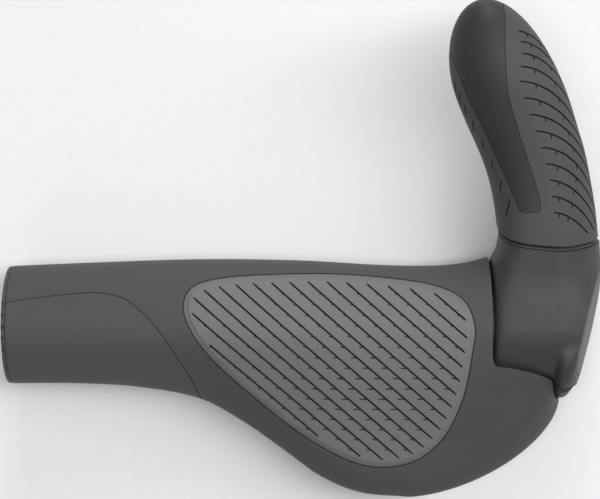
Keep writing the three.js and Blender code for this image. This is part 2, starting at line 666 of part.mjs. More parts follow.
function screwWasher() {
  const disc = screwRod(SCREW_HEAD_R, WASHER_TOP - WASHER_THICK, WASHER_TOP);
  return disc.subtract(screwRod(SCREW_R + GAP, -FAR / 8, FAR / 8));
}

function endCap() {
  const disc = onEndPlane(rod(CAP_R, -CAP_THICK, 0));
  const spigot = rod(BORE_R - GAP, END_X - CAP_THICK - CAP_SPIGOT, END_X - CAP_THICK);
  const behind = onEndPlane(block([-FAR, -FAR, -FAR], [-CAP_THICK / 2, FAR, FAR]));
  return disc.add(spigot.intersect(behind));
}

function collarRing() {
  const band = beforeCollar(beyondCollar(hornLoft(COLLAR_STEP), GAP), GAP + COLLAR_THICK);
  return band.subtract(hornLoft(COVER_THICK, HORN_UNDER));
}

// One rib groove, from near the horn's top down round one side.
function ribGroove(y, side) {
  const steps = 6;
  const towardsTip = smooth(HORN_TIP_Y - TIP_LENGTH, HORN_TIP_Y - TIP_LENGTH / 4, y);
  const start = THREE.MathUtils.lerp(RIB_FROM, RIB_FROM_TIP, towardsTip);
  const [floor, roof, across] = [[], [], []];
  for (let i = 0; i <= steps; i++) {
    const angle = THREE.MathUtils.lerp(start, RIB_TO, i / steps);
    const turn = (side > 0 ? angle : 180 - angle) * DEGREE;
    const at = y - RIB_SWEEP * (1 - Math.cos((start - angle) * DEGREE));
    floor.push(hornPoint(at, turn, RIB_DEPTH));
    roof.push(hornPoint(at, turn, -1));
    across.push(new THREE.Vector3(0, RIB_WIDTH, 0));
  }
  return sweep(floor, roof, across);
}

// The thumb panel's lowest edge, on the horn's inboard side.
const THUMB_LOW = HORN_RISE * (HORN_TIP_Y - TIP_LENGTH) + HORN_HIGH - THUMB_DEPTH;

function barEndCover() {
  const ends = 2 * GAP + COLLAR_THICK;
  let made = beyondCollar(hornLoft(0), ends).subtract(hornLoft(COVER_THICK, HORN_UNDER));
  const spared = prism(grown(thumbOutline, RIB_MARGIN), THUMB_LOW - RIB_MARGIN, FAR);
  for (const side of [1, -1]) {
    let y = COLLAR_Y + RIB_START;
    let pitch = RIB_PITCH;
    for (let k = 0; k < RIB_COUNT; k++) {
      const groove = beyondCollar(ribGroove(y, side), ends + RIB_COLLAR);
      made = made.subtract(groove.subtract(spared));
      y += pitch;
      if (k + 1 >= RIB_EVEN) pitch *= 1 - RIB_CLOSING;
    }
  }
  const pocket = prism(grown(thumbOutline, GAP), THUMB_LOW - GAP, FAR);
  return made.subtract(pocket.subtract(hornLoft(THUMB_THICK + GAP, HORN_UNDER)));
}

function thumbPanel() {
  const skin = hornLoft(0).subtract(hornLoft(THUMB_THICK, HORN_UNDER));
  return skin.intersect(prism(thumbOutline, THUMB_LOW, FAR));
}

const looks = {
  rubber: { color: 0x3f3f40, roughness: 0.75, metalness: 0 },
  pad: { color: 0x6f7274, roughness: 0.8, metalness: 0 },
  plastic: { color: 0x37383a, roughness: 0.5, metalness: 0 },
  cap: { color: 0x56585a, roughness: 0.45, metalness: 0 },
  steel: { color: 0x8a8c90, roughness: 0.3, metalness: 1 },
};

const group = new THREE.Group();
for (const [name, made, look] of [
  ["core_sleeve", coreSleeve(), "plastic"],
  ["grip_body", gripBody(), "rubber"],
  ["finger_panel", fingerPanel(), "rubber"],
  ["palm_pad", palmPad(), "pad"],
  ["bar_end_core", barEndCore(), "plastic"],
  ["collar_ring", collarRing(), "plastic"],
  ["bar_end_cover", barEndCover(), "rubber"],
  ["thumb_panel", thumbPanel(), "rubber"],
  ["end_cap", endCap(), "cap"],
  ["clamp_screw", clampScrew(), "steel"],
  ["screw_washer", screwWasher(), "steel"],
]) {
  const mesh = new THREE.Mesh(geometryOf(made), new THREE.MeshStandardMaterial(looks[look]));
  mesh.name = name;
  group.add(mesh);
}

export default group;
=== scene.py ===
# %% [markdown]
# # A winged handlebar grip with a short bar end
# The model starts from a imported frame: solids of the right size, in metres, that every piece
# drawn here has to fit. The frame's own solids are plain and faceted, so each one gets a finer
# piece in its place, worked out from the same sizes. The axes are those of the frame: +X runs
# outboard along the handlebar, +Y forward and +Z up.

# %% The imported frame
import bpy
import numpy as np
from mathutils import Matrix, Vector


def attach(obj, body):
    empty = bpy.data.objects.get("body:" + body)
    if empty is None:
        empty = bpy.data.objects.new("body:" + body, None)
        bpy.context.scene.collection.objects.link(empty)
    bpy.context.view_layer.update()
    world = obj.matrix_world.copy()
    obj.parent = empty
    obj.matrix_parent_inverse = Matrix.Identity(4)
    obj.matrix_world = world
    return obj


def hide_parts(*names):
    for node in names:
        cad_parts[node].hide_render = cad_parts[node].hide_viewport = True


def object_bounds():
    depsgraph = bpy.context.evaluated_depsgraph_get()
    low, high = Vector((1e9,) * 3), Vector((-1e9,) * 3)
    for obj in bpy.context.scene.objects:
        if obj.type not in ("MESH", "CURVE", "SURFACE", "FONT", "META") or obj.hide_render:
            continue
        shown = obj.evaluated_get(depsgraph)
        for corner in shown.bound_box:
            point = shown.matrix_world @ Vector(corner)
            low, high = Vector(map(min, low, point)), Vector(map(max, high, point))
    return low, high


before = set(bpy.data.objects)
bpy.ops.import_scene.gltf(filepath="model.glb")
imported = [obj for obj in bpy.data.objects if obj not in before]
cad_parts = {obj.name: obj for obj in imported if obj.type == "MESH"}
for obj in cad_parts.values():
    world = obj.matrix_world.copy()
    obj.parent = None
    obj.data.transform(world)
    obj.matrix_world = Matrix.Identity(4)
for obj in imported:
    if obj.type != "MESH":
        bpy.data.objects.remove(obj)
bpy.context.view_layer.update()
MM = 0.001
print("nodes:", sorted(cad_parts))

# %% [markdown]
# ## The camera
# The photograph looks straight down on the grip from about half a metre. At that distance the
# parts that stand high look a little larger, so a flat (orthographic) view would not line up.
# The lens follows from the scale at the level of the handlebar's axis: how many pixels of the
# picture one millimetre fills there.

# %% Camera over the grip
PICTURE = (600, 499)
PIXELS_PER_MM = 3.8
CAMERA_HEIGHT = 480
CAMERA_AT = (76.3, 19.74, CAMERA_HEIGHT)

camera = bpy.data.objects.new("camera", bpy.data.cameras.new("camera"))
bpy.context.collection.objects.link(camera)
camera.location = Vector(CAMERA_AT) * MM
camera.data.sensor_width = 36
camera.data.lens = camera.data.sensor_width * CAMERA_HEIGHT * PIXELS_PER_MM / PICTURE[0]
camera.data.clip_start, camera.data.clip_end = 0.01, 20
bpy.context.scene.camera = camera
print("lens:", round(camera.data.lens, 1), "mm")

# %% [markdown]
# ## Curves through a few points
# The grip's outline changes smoothly along its length. A maker would set a few sizes and run a
# flexible ruler through them. The same is done here: a cubic between neighbouring points, whose
# slope at each point is that of the line between the points on either side.

# %% Curve helpers
def through(points):
    """A function y(x): between two points, the blend 3t^2 - 2t^3 of their heights plus a term
    that gives the curve each point's slope; level beyond the first and last point."""
    xs, ys = np.array(points, float).T
    slopes = np.empty_like(ys)
    slopes[1:-1] = (ys[2:] - ys[:-2]) / (xs[2:] - xs[:-2])
    slopes[0], slopes[-1] = (ys[1] - ys[0]) / (xs[1] - xs[0]), (ys[-1] - ys[-2]) / (xs[-1] - xs[-2])

    def curve(x):
        x = np.clip(x, xs[0], xs[-1])
        i = np.clip(np.searchsorted(xs, x, side="right") - 1, 0, len(xs) - 2)
        w = xs[i + 1] - xs[i]
        t = (x - xs[i]) / w
        level = ys[i] + (ys[i + 1] - ys[i]) * t * t * (3 - 2 * t)
        return level + w * t * (1 - t) * ((1 - t) * slopes[i] - t * slopes[i + 1])

    return curve


def ring_through(points, steps):
    """A closed outline: each stretch is the cubic of its two end points and their neighbours."""
    p = np.array(points, float)
    a, b, c, d = np.roll(p, 1, 0), p, np.roll(p, -1, 0), np.roll(p, -2, 0)
    t = (np.arange(steps) / steps)[None, :, None]
    a, b, c, d = (q[:, None, :] for q in (a, b, c, d))
    bend = 2 * a - 5 * b + 4 * c - d + t * (3 * (b - c) + d - a)
    return (b + 0.5 * t * (c - a + t * bend)).reshape(-1, 2)


def smooth(low, high, x):
    """0 below low, 1 above high, and 3t^2 - 2t^3 between."""
    t = np.clip((x - low) / (high - low), 0, 1)
    return t * t * (3 - 2 * t)


def rounding(share):
    """Height of a quarter circle at a share of its width."""
    return np.sqrt(1 - (1 - np.clip(share, 0, 1)) ** 2)


def outline_normals(p):
    """Unit normals of a closed outline, to the right of its run: outwards if counter-clockwise."""
    run = np.roll(p, -1, 0) - np.roll(p, 1, 0)
    run /= np.linalg.norm(run, axis=1, keepdims=True)
    return np.stack([run[:, 1], -run[:, 0]], 1)


# %% [markdown]
# ## From points to a mesh
# Every piece is a sheet of points: rows along it, and columns round it. Neighbouring points make
# four-sided faces, and a fan of triangles or one flat face closes each end. Seen from the
# sheet's middle, its faces have to look outwards: if the volume worked out from them is
# negative, the sheet is inside out and every face is turned.

# %% Mesh helpers
def shell(rows, flat=False, loop=False):
    """Points and outward faces of a skin over rows of points: (rows, around, 3). Its ends are
    closed by fans, or flat by one face each; loop joins the last row to the first instead."""
    rows = np.asarray(rows, float)
    count, around = rows.shape[:2]
    index = np.arange(count * around).reshape(count, around)
    here = index if loop else index[:-1]
    there = np.roll(index, -1, 0) if loop else index[1:]
    quads = np.stack([here, np.roll(here, -1, 1), np.roll(there, -1, 1), there], -1).reshape(-1, 4)
    points, faces = rows.reshape(-1, 3), quads.tolist()
    a, b, c, d = (points[quads[:, k]] - points.mean(0) for k in range(4))
    outward = np.sum(a * np.cross(b, c)) + np.sum(a * np.cross(c, d)) > 0
    if not loop and flat:
        faces += [index[0][::-1].tolist(), index[-1].tolist()]
    elif not loop:
        low = np.full(around, len(points))
        points = np.vstack([points, rows[0].mean(0), rows[-1].mean(0)])
        faces += np.stack([np.roll(index[0], -1), index[0], low], -1).tolist()
        faces += np.stack([index[-1], np.roll(index[-1], -1), low + 1], -1).tolist()
    return points, faces if outward else [face[::-1] for face in faces]


def mesh_object(name, points, faces):
    """An object of these points (in mm) and faces, with its origin at the frame's."""
    mesh = bpy.data.meshes.new(name)
    mesh.from_pydata(np.asarray(points) * MM, [], faces)
    made = bpy.data.objects.new(name, mesh)
    bpy.context.collection.objects.link(made)
    return made


def skin(name, rows, **how):
    """An object of the closed skin over rows of points."""
    return mesh_object(name, *shell(rows, **how))


def two_slots(piece):
    """Gives a piece two empty material slots: cuts pass on the slot of the cutter's faces."""
    piece.data.materials.append(None)
    piece.data.materials.append(None)
    return piece


def marking(cutter):
    """Puts a cutter's faces in its second slot, so that a cut shows where it was."""
    faces = two_slots(cutter).data.polygons
    faces.foreach_set("material_index", np.ones(len(faces), int))
    return cutter


def bars(name, tracks):
    """Many separate bars in one mesh, which marks its cuts."""
    points, faces, start = [], [], 0
    for rows in tracks:
        own, sides = shell(rows, flat=True)
        faces += [[corner + start for corner in side] for side in sides]
        points.append(own)
        start += len(own)
    return marking(mesh_object(name, np.vstack(points), faces))


# %% [markdown]
# ## Cuts and turned shapes
# A moulded piece is easiest as a full skin that is then cut to its own part of it. Prisms cut
# along a plan outline, rods make bores, and a large block cuts along a plane.

# %% Cutting helpers
def apply_modifiers(piece):
    """Keeps the shape that the piece's modifiers give, as its own mesh."""
    graph = bpy.context.evaluated_depsgraph_get()
    piece.data = bpy.data.meshes.new_from_object(piece.evaluated_get(graph))
    piece.modifiers.clear()


def carve(piece, cutter, how="DIFFERENCE"):
    """Cuts the cutter's solid out of the piece, or joins or intersects them, and removes it."""
    before = len(piece.data.polygons)
    change = piece.modifiers.new(how.lower(), "BOOLEAN")
    change.operation, change.solver, change.object = how, "MANIFOLD", cutter
    apply_modifiers(piece)
    if len(piece.data.polygons) == before:
        print("no change:", piece.name, how.lower(), cutter.name)
    bpy.data.objects.remove(cutter)
    return piece


def prism(name, outline, low, high):
    """An upright solid over a plan outline."""
    levels = np.array([low, high], float)[:, None, None]
    rows = np.concatenate([np.repeat(outline[None], 2, 0), np.repeat(levels, len(outline), 1)], -1)
    return skin(name, rows, flat=True)


def block(name, low, high):
    """A box between its lowest and its highest corner."""
    (x0, y0, z0), (x1, y1, z1) = low, high
    return prism(name, np.array([[x0, y0], [x1, y0], [x1, y1], [x0, y1]], float), z0, z1)


def turned(name, profile, around=96, **how):
    """A turned shape on the X axis: each (x, radius) of the profile is swept in a circle."""
    x, r = np.array(profile, float).T[:, :, None]
    turn = np.linspace(0, 2 * np.pi, around, endpoint=False)
    return skin(name, np.stack([x + 0 * turn, r * np.cos(turn), r * np.sin(turn)], -1), **how)


def rod(name, radius, low, high, around=96):
    """A round bar on the X axis, from low to high."""
    return turned(name, [(low, radius), (high, radius)], around)


def moved(piece, matrix):
    """Moves a piece that was made on the X axis to its place, in its mesh."""
    piece.data.transform(matrix)
    return piece


def onto(point, direction):
    """The move that takes the X axis to a direction (in mm and unit length) through a point."""
    turn = Vector((1, 0, 0)).rotation_difference(Vector(direction)).to_matrix().to_4x4()
    return Matrix.Translation(Vector(point) * MM) @ turn


def half_space(name, point, normal):
    """A large block that fills one side of a plane."""
    return moved(block(name, (0, -150, -150), (150, 150, 150)), onto(point, normal))


def mark_grooves(piece):
    """Keeps what the slots say as an attribute, groove: 1 on the faces inside a cut line, for
    painted shade.
    """
    slot = np.zeros(len(piece.data.polygons), int)
    piece.data.polygons.foreach_get("material_index", slot)
    groove = piece.data.attributes.new("groove", "FLOAT", "FACE")
    groove.data.foreach_set("value", slot.astype(float))
    piece.data.polygons.foreach_set("material_index", slot * 0)
    print(piece.name, int(slot.sum()), "faces lie in its grooves")


def finish_piece(piece, body, node, degrees=32):
    """Smooth shading with crisp edges, and the piece's place in the frame."""
    piece.data.shade_smooth()
    piece.data.set_sharp_from_angle(angle=np.radians(degrees))
    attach(piece, body)
    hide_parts(node)
    print(piece.name, len(piece.data.polygons), "faces")


# %% [markdown]
# ## Sizes that the pieces share
# Fits are worked out from the handlebar: a hard core slides onto it, the barrel's rubber and the
# clamp ring lie round the core, and the clamp's ridge, its lug and its end face follow along X.

# %% Shared sizes
GAP, TURN_GAP = 0.3, 0.6  # clearance inside the clamp, and in the wing's recess
BAR_R = 11.1
BORE_R, BARREL_R = BAR_R + 0.1, BAR_R + 4.3
CORE_R = BORE_R + 1.6
RING_R, CAP_R = CORE_R + 3.6, CORE_R + 0.9
LUG_WIDTH, LUG_HEIGHT, LUG_WALL, LUG_EASE = 2.2, 2.8, 1.4, 0.35
GRIP_LENGTH = 125.4
CLAMP_X = GRIP_LENGTH + TURN_GAP
CROWN_X = CLAMP_X + 16.4
LUG_X, END_X, HORN_X = CROWN_X + LUG_WIDTH, CROWN_X + 10, CROWN_X - 1.4
FLANGE_THICK = 0.9
BODY_X = FLANGE_THICK + 0.02
print("bore:", 2 * BORE_R, "mm, clamp ring:", round(2 * RING_R, 1), "mm")


def spread(points, xs, ys):
    """Points given as shares of two lengths, each with its own start: (start, length)."""
    return [(xs[0] + x * xs[1], ys[0] + y * ys[1]) for x, y in points]


# %% [markdown]
# ## The grip's own shape
# The barrel is round, and behind it the rubber spreads into a wing for the palm. In plan the
# grip reaches a certain way in front of the handlebar's axis and another behind it. Each upright
# section spans those two reaches: a half circle in front, and behind it a lens that thins from
# the barrel's height to the wing's edge, where a small quarter circle rounds it off.

# %% Grip section
WING_DEPTH, WING_END, WING_FROM, WING_TO = 45.8, CROWN_X + 2.5, 20, 80
LOBE_START, LOBE_Y, LOBE_POWER, LOBE_ROUND = GRIP_LENGTH - 20.4, -19.9, 1.63, 4
EDGE_HALF, EDGE_ROUND, DROOP, MOUTH_ROUND = 5.6, 7, 3.5, 0.35

front_reach = through(spread([
    (0, 0), (0.191, 0.065), (0.399, 0.117), (0.606, 0.097), (0.797, 0.013), (0.901, 0.013),
    (0.957, 0.065), (1, 0.156),
], (0, GRIP_LENGTH), (BARREL_R, BARREL_R)))
rear_curve = through(spread([
    (0, 0), (0.171, 0), (0.324, 0.033), (0.476, 0.138), (0.576, 0.322), (0.676, 0.5625),
    (0.776, 0.8125), (0.876, 0.957), (1, 1),
], (0, LOBE_START), (BARREL_R, WING_DEPTH - BARREL_R)))
crown = through(spread(
    [(0, 0), (0.4, 0.039), (0.8, 0.013), (1.155, 0)], (0, GRIP_LENGTH), (BARREL_R, BARREL_R)))


def rear_reach(x):
    """The rear outline, ending in a lobe whose two reaches obey a^p + b^p = 1."""
    share = np.clip((x - LOBE_START) / (WING_END - LOBE_START), 0, 1)
    lobe = (WING_DEPTH + LOBE_Y) * (1 - share**LOBE_POWER) ** (1 / LOBE_POWER) - LOBE_Y
    return np.where(x <= LOBE_START, rear_curve(x), lobe)


def grip_heights(x, y):
    """Middle height and half thickness of the grip at points of its plan. In front the half is
    an ellipse's. Behind, it eases from the crown's height to the wing edge's, times a quarter
    circle over the last stretch. The middle droops by the square of the share back."""
    reach, wing = rear_reach(x), smooth(WING_FROM, WING_TO, x)
    end = rounding((WING_END - x) / LOBE_ROUND)
    ahead = crown(x) * np.sqrt(1 - np.clip(y / front_reach(x), 0, 1) ** 2)
    share = np.clip(-y / reach, 0, 1)
    slope = (rear_reach(np.minimum(x + 0.1, WING_END)) - rear_reach(x - 0.1)) / 0.2
    inwards = (reach + y) / np.hypot(1, slope)
    edge = crown(x) + (EDGE_HALF - crown(x)) * wing
    width = reach + (EDGE_ROUND - reach) * wing
    behind = (crown(x) + (edge - crown(x)) * smooth(0, 1, share)) * rounding(inwards / width)
    half = np.where(y >= 0, ahead, behind) * end
    return np.where(y >= 0, 0, -DROOP * wing * share**2), half


def grip_rows(x, around, inset=0.0):
    """Sections at each x, moved inwards along their own normals by the inset."""
    turn = (np.arange(around) + 0.5) / around * 2 * np.pi
    x = np.asarray(x, float)[:, None]
    y = np.cos(turn) * np.where(np.cos(turn) > 0, front_reach(x), rear_reach(x))
    middle, half = grip_heights(x, y)
    z = middle + np.sign(np.sin(turn)) * half
    run = np.stack([np.roll(y, -1, 1) - np.roll(y, 1, 1), np.roll(z, -1, 1) - np.roll(z, 1, 1)], -1)
    run /= np.linalg.norm(run, axis=-1, keepdims=True)
    return np.stack([np.repeat(x, around, 1), y - run[..., 1] * inset, z + run[..., 0] * inset], -1)


def grip_solid(name, inset=0.0, step=0.7, around=240):
    """The whole grip's skin; closer rows round its mouth and lobe, and open-ended if inset."""
    mouth = BODY_X + MOUTH_ROUND * (1 - np.cos(np.linspace(0, np.pi / 2, 6)))
    body = np.arange(BODY_X + MOUTH_ROUND + 0.5, WING_END - LOBE_ROUND, step)
    tip = WING_END - LOBE_ROUND + LOBE_ROUND * np.sin(np.linspace(0, 0.4985 * np.pi, 16))
    x = np.concatenate([[-3] if inset else mouth, body, tip])
    lip = 0 if inset else MOUTH_ROUND * (1 - rounding((x - BODY_X) / MOUTH_ROUND))[:, None]
    return skin(name, grip_rows(x, around, inset + lip))


def top_of(x, y):
    """Height of the grip's top at points of its plan: middle height plus half thickness."""
    middle, half = grip_heights(x, y)
    return middle + half


print("grip depth at its widest:", round(float(front_reach(60.0) + rear_reach(105.0)), 1), "mm")

# %% [markdown]
# ## Plan outlines on the grip
# Two skins are laid into the rubber: the pale palm pad, and a panel behind the barrel whose
# seam runs over the top as one long curve. Both are cut with upright prisms, so their edges are
# plan outlines that the surface lifts to its own height.

# %% Pad outline and seam
PAD_FROM, PAD_WIDTH, PAD_FRONT, SEAM_LENGTH = 46.6, 50.5, 13.4, 50.5
PAD_LENGTH = GRIP_LENGTH - 4.5 - PAD_FROM
pad_outline = ring_through(spread([
    (0, -0.176), (0.04, -0.321), (0.135, -0.491), (0.316, -0.729), (0.448, -0.869), (0.581, -0.97),
    (0.699, -1), (0.818, -0.954), (0.907, -0.828), (0.965, -0.63), (0.993, -0.392), (1, -0.265),
    (0.969, -0.141), (0.892, -0.069), (0.755, -0.028), (0.53, 0), (0.301, -0.002), (0.127, -0.02),
    (0.027, -0.067),
], (PAD_FROM, PAD_LENGTH), (PAD_FRONT, PAD_WIDTH)), 14)
seam = through(spread([
    (0, 0.39), (0.158, 0.468), (0.317, 0.532), (0.475, 0.565), (0.594, 0.5), (0.673, 0.357),
    (0.772, 0.045), (0.851, -0.312), (0.958, -0.922), (1, -1.3),
], (0, SEAM_LENGTH), (0, BARREL_R)))


def grown(outline, distance):
    """The outline moved outwards, for one that runs counter-clockwise."""
    return outline + outline_normals(outline) * distance


def panel_plan(clear):
    """The panel's plan: below the seam, back past the rear, and out of the inboard end."""
    x = np.linspace(0, SEAM_LENGTH, 90)
    curve = np.stack([x, seam(x)], 1)
    run = np.gradient(curve, axis=0)
    run /= np.linalg.norm(run, axis=1, keepdims=True)
    curve += np.stack([-run[:, 1], run[:, 0]], 1) * clear
    past = SEAM_LENGTH + clear
    ends = np.array([(-3, curve[0, 1]), (-3, -60), (past, -60), (past, curve[-1, 1] - 1)])
    return np.vstack([ends, curve[::-1]])


# %% [markdown]
# ## The clamp's recess
# The clamp turns beside the wing, so the wing has a round hollow for it, a little larger than
# the ring and its lug. The hollow is open to the front, where the horn passes. Rubber is moulded
# with a small fillet in such a hollow, so its inner corner is a quarter circle.

# %% Recess
CORNER_R = 1.3
lug_reach = through(spread([
    (-0.36, -0.5), (0, 0.42), (0.5, 0.95), (1, 1), (1.45, 0.89), (2.14, 0.286), (2.73, -0.46),
    (3.45, -1.5),
], (CROWN_X, LUG_WIDTH), (RING_R, LUG_HEIGHT)))


def recess_solid():
    """A room turned about the handlebar: a quarter circle at its inner corner, the ring's radius
    plus the gap, and a smooth step out over the lug. A block opens it to the front."""
    start = CROWN_X - 2 * TURN_GAP
    bend = np.linspace(0, np.pi / 2, 7)
    corner = GRIP_LENGTH + CORNER_R * (1 - np.cos(bend))
    x = np.concatenate([corner, np.linspace(start, LUG_X - TURN_GAP / 2, 12), [220]])
    over_lug = LUG_HEIGHT - TURN_GAP * 0.75
    radius = RING_R + TURN_GAP + over_lug * smooth(0, 1, (x - start) / LUG_WIDTH)
    radius[:len(bend)] -= CORNER_R * (1 - np.sin(bend))
    room = turned("recess", np.stack([x, radius], 1), 200)
    return carve(room, block("open_front", (GRIP_LENGTH, -2, -60), (210, 60, 60)), "UNION")


# %% Grip body
PAD_THICK, PANEL_THICK, SEAM_GAP, PAD_GAP = 1.8, 1.0, 0.09, 0.14
grip = grip_solid("grip_rubber")
carve(grip, rod("core_room", CORE_R + 0.05, -5, 300))
carve(grip, recess_solid())
pocket = prism("pad_pocket", grown(pad_outline, PAD_GAP), 0, 60)
carve(grip, carve(pocket, grip_solid("under_pad", PAD_THICK, 2, 120)))
pocket = prism("panel_pocket", panel_plan(SEAM_GAP), -60, 60)
carve(grip, carve(pocket, grip_solid("under_panel", PANEL_THICK, 2, 120)))
finish_piece(grip, "grip", "grip_body", 40)

# %% Panel behind the barrel
panel = grip_solid("finger_panel_skin")
carve(panel, grip_solid("under_panel", PANEL_THICK - 0.1, 2, 120))
carve(panel, prism("panel_shape", panel_plan(-SEAM_GAP), -60, 60), "INTERSECT")
finish_piece(panel, "grip", "finger_panel", 40)

# %% [markdown]
# ## The palm pad
# The pad is a paler rubber with a bevelled rim. It is drawn as rings: up its side, over the
# bevel, and in to the middle. Every point is lifted to the grip's own height there, plus the
# height of the rim's profile.

# %% Palm pad
PAD_PROUD, PAD_BOTTOM, RIM_WIDTH = 0.15, -1.7, 1.15
PAD_MIDDLE = np.array([88.0, -8.0])
RIM = [
    (0.25, PAD_BOTTOM), (0, -1.55), (0, -0.5), (0.12, -0.36), (0.5, -0.26),
    (RIM_WIDTH - 0.15, -0.12), (RIM_WIDTH, 0.06), (RIM_WIDTH + 0.12, PAD_PROUD - 0.02),
    (RIM_WIDTH + 0.6, PAD_PROUD),
]


def lifted(plan, lift):
    """Plan points at the grip's surface, plus a lift for each ring."""
    height = top_of(plan[..., 0], plan[..., 1]) + np.asarray(lift)[..., None]
    return np.concatenate([plan, height[..., None]], -1)


def pad_rows():
    """Rings from the underside's middle outwards, up the side, over the rim and back in."""
    insets, lifts = np.array(RIM).T
    rim = np.stack([grown(pad_outline, -inset) for inset in insets])
    low = PAD_MIDDLE + (rim[0] - PAD_MIDDLE) * np.linspace(0.03, 0.97, 24)[:, None, None]
    top = PAD_MIDDLE + (rim[-1] - PAD_MIDDLE) * np.linspace(0.97, 0.02, 52)[:, None, None]
    return np.concatenate([
        lifted(low, np.full(len(low), PAD_BOTTOM)),
        lifted(rim, lifts),
        lifted(top, np.full(len(top), PAD_PROUD)),
    ])


# %% [markdown]
# ## Grooves in the pad
# Sixteen grooves cross the pad at one angle and one pitch, and short ticks stand off them in
# level rows. The first rows have none on the pad's inboard part. A groove is a bar with a
# rounded bottom, carried along a line in plan and set to a depth below the pad's surface, which
# eases to nothing at its ends. The bars lie in the second slot of their mesh, and a cut passes
# that on to the faces that it makes, so that the finish can paint shade into them.

# %% Groove tracks
GROOVE_COUNT, GROOVE_PITCH, GROOVE_START, GROOVE_SLOPE = 16, 4.83, 1.4, 0.873
GROOVE_WIDTH, GROOVE_DEPTH, GROOVE_MARGIN, GROOVE_ROOF = 0.48, 0.75, 2.0, 1.5
TICK_WIDTH, TICK_DEPTH = 0.46, 0.6
TICK_FIRST_Y, TICK_PITCH, TICK_ROWS, TICK_CLEAR = 8.37, 2.71, 16, 0.6
BARE_ROWS, BARE_TO = 3, 70
BAR_ACROSS = np.array([-0.5, -0.5, -0.3, 0, 0.3, 0.5, 0.5])
BAR_DOWN = np.array([0, 0.55, 0.9, 1, 0.9, 0.55, 0])


def bar_rows(centre, side, down, width, depth, roof):
    """A bar along centre points: across by the side vectors, down to a depth, up to a roof."""
    width, depth = (np.broadcast_to(v, len(centre))[:, None, None] for v in (width, depth))
    drop = np.where(BAR_DOWN[:, None] > 0, BAR_DOWN[:, None] * depth, -roof)
    return centre[:, None] + side[:, None] * (BAR_ACROSS[:, None] * width) + down[:, None] * drop


def ends_eased(steps, share):
    """1 along a bar, falling to nearly 0 over a share of its length at each end."""
    t = np.linspace(0, 1, steps)
    return rounding(np.minimum(t, 1 - t) / share + 0.1)


def pad_bar(start, end, width, depth, steps):
    """A bar let into the pad's surface along a straight line in plan."""
    plan = start + (end - start) * np.linspace(0, 1, steps)[:, None]
    run = (end - start) / np.linalg.norm(end - start)
    side = np.tile([-run[1], run[0], 0], (steps, 1))
    centre = np.column_stack([plan, top_of(plan[:, 0], plan[:, 1]) + PAD_PROUD])
    down = np.tile([0, 0, -1.0], (steps, 1))
    return bar_rows(centre, side, down, width, depth, GROOVE_ROOF)


def line_span(outline, level):
    """The two outermost points where the line slope * x + y = level crosses the outline."""
    side = outline @ np.array([GROOVE_SLOPE, 1.0]) - level
    after = np.roll(side, -1)
    hit = np.flatnonzero(side * after < 0)
    share = (side[hit] / (side[hit] - after[hit]))[:, None]
    points = outline[hit] + (np.roll(outline, -1, 0)[hit] - outline[hit]) * share
    return points[np.argsort(points[:, 0])][[0, -1]]


def tick_length(x, y):
    """A bell in x and y: longest near the pad's lower right, fading to a dot towards the top."""
    return 0.65 + 1.4 * np.exp(-(((x - 97) / 25) ** 2) - ((y + 18) / 14) ** 2)


def pad_cutters():
    """Grooves, and the ticks that stand off them where a level row crosses one."""
    inner = grown(pad_outline, -GROOVE_MARGIN)
    grooves, ticks = [], []
    ease, fade = ends_eased(60, 0.03), np.linspace(1, 0.35, 5)
    for level in GROOVE_SLOPE * (PAD_FROM + GROOVE_START + GROOVE_PITCH * np.arange(GROOVE_COUNT)):
        first, last = line_span(inner, level)
        width = GROOVE_WIDTH * (0.5 + 0.5 * ease)
        grooves.append(pad_bar(first, last, width, GROOVE_DEPTH * ease, 60))
        rows = TICK_FIRST_Y - TICK_PITCH * np.arange(TICK_ROWS)
        across = (level - rows) / GROOVE_SLOPE
        bare = (np.arange(TICK_ROWS) < BARE_ROWS) & (across < BARE_TO)
        inside = (rows < first[1] - TICK_CLEAR) & (rows > last[1] + TICK_CLEAR)
        for y in rows[inside & ~bare]:
            x = (level - y) / GROOVE_SLOPE
            start, end = np.array([x + 0.05, y]), np.array([x - tick_length(x, y), y])
            ticks.append(pad_bar(start, end, TICK_WIDTH * fade**0.4, TICK_DEPTH * fade, 5))
    print(len(grooves), "grooves,", len(ticks), "ticks")
    return bars("grooves", grooves), bars("ticks", ticks)


# %% Grooved pad
pad = two_slots(skin("palm_pad_rubber", pad_rows()))
for cutter in pad_cutters():
    carve(pad, cutter)
# the marked groove and tick faces get painted shade in the finish
mark_grooves(pad)
finish_piece(pad, "grip", "palm_pad", 30)

# %% [markdown]
# ## Sections of the bar end
# One hard moulding grips the handlebar and carries the horn. Upright sections across Y show it
# best: behind the axis they are the clamp ring, cut flat; towards the front they turn into the
# horn's oval. Each section has a ridge at one x and reaches left and right of it. It follows
# |across|^p + |up|^p = 1, with a power of its own on each side: the inboard side is boxy, so the
# ring meets its recess with a full corner, and the outboard side falls away from the ridge.

# %% Root curves
COLLAR_Y, HORN_LENGTH, HORN_WIDE, HORN_HIGH = 23.1, 60, 12.9, 12.5
HORN_RISE, HORN_SWEEP, TIP_LENGTH = 0.225, 17.7, 25
HORN_TIP_Y = COLLAR_Y + HORN_LENGTH
END_SLANT_REAR, END_SLANT_UP, END_DOME = np.radians(12.6), np.radians(13), 8.5
HORN_RIGHT, FULL_RIGHT = HORN_X + HORN_WIDE + GAP, END_X + END_DOME
on_root, on_horn = (0, COLLAR_Y), (COLLAR_Y, HORN_LENGTH)

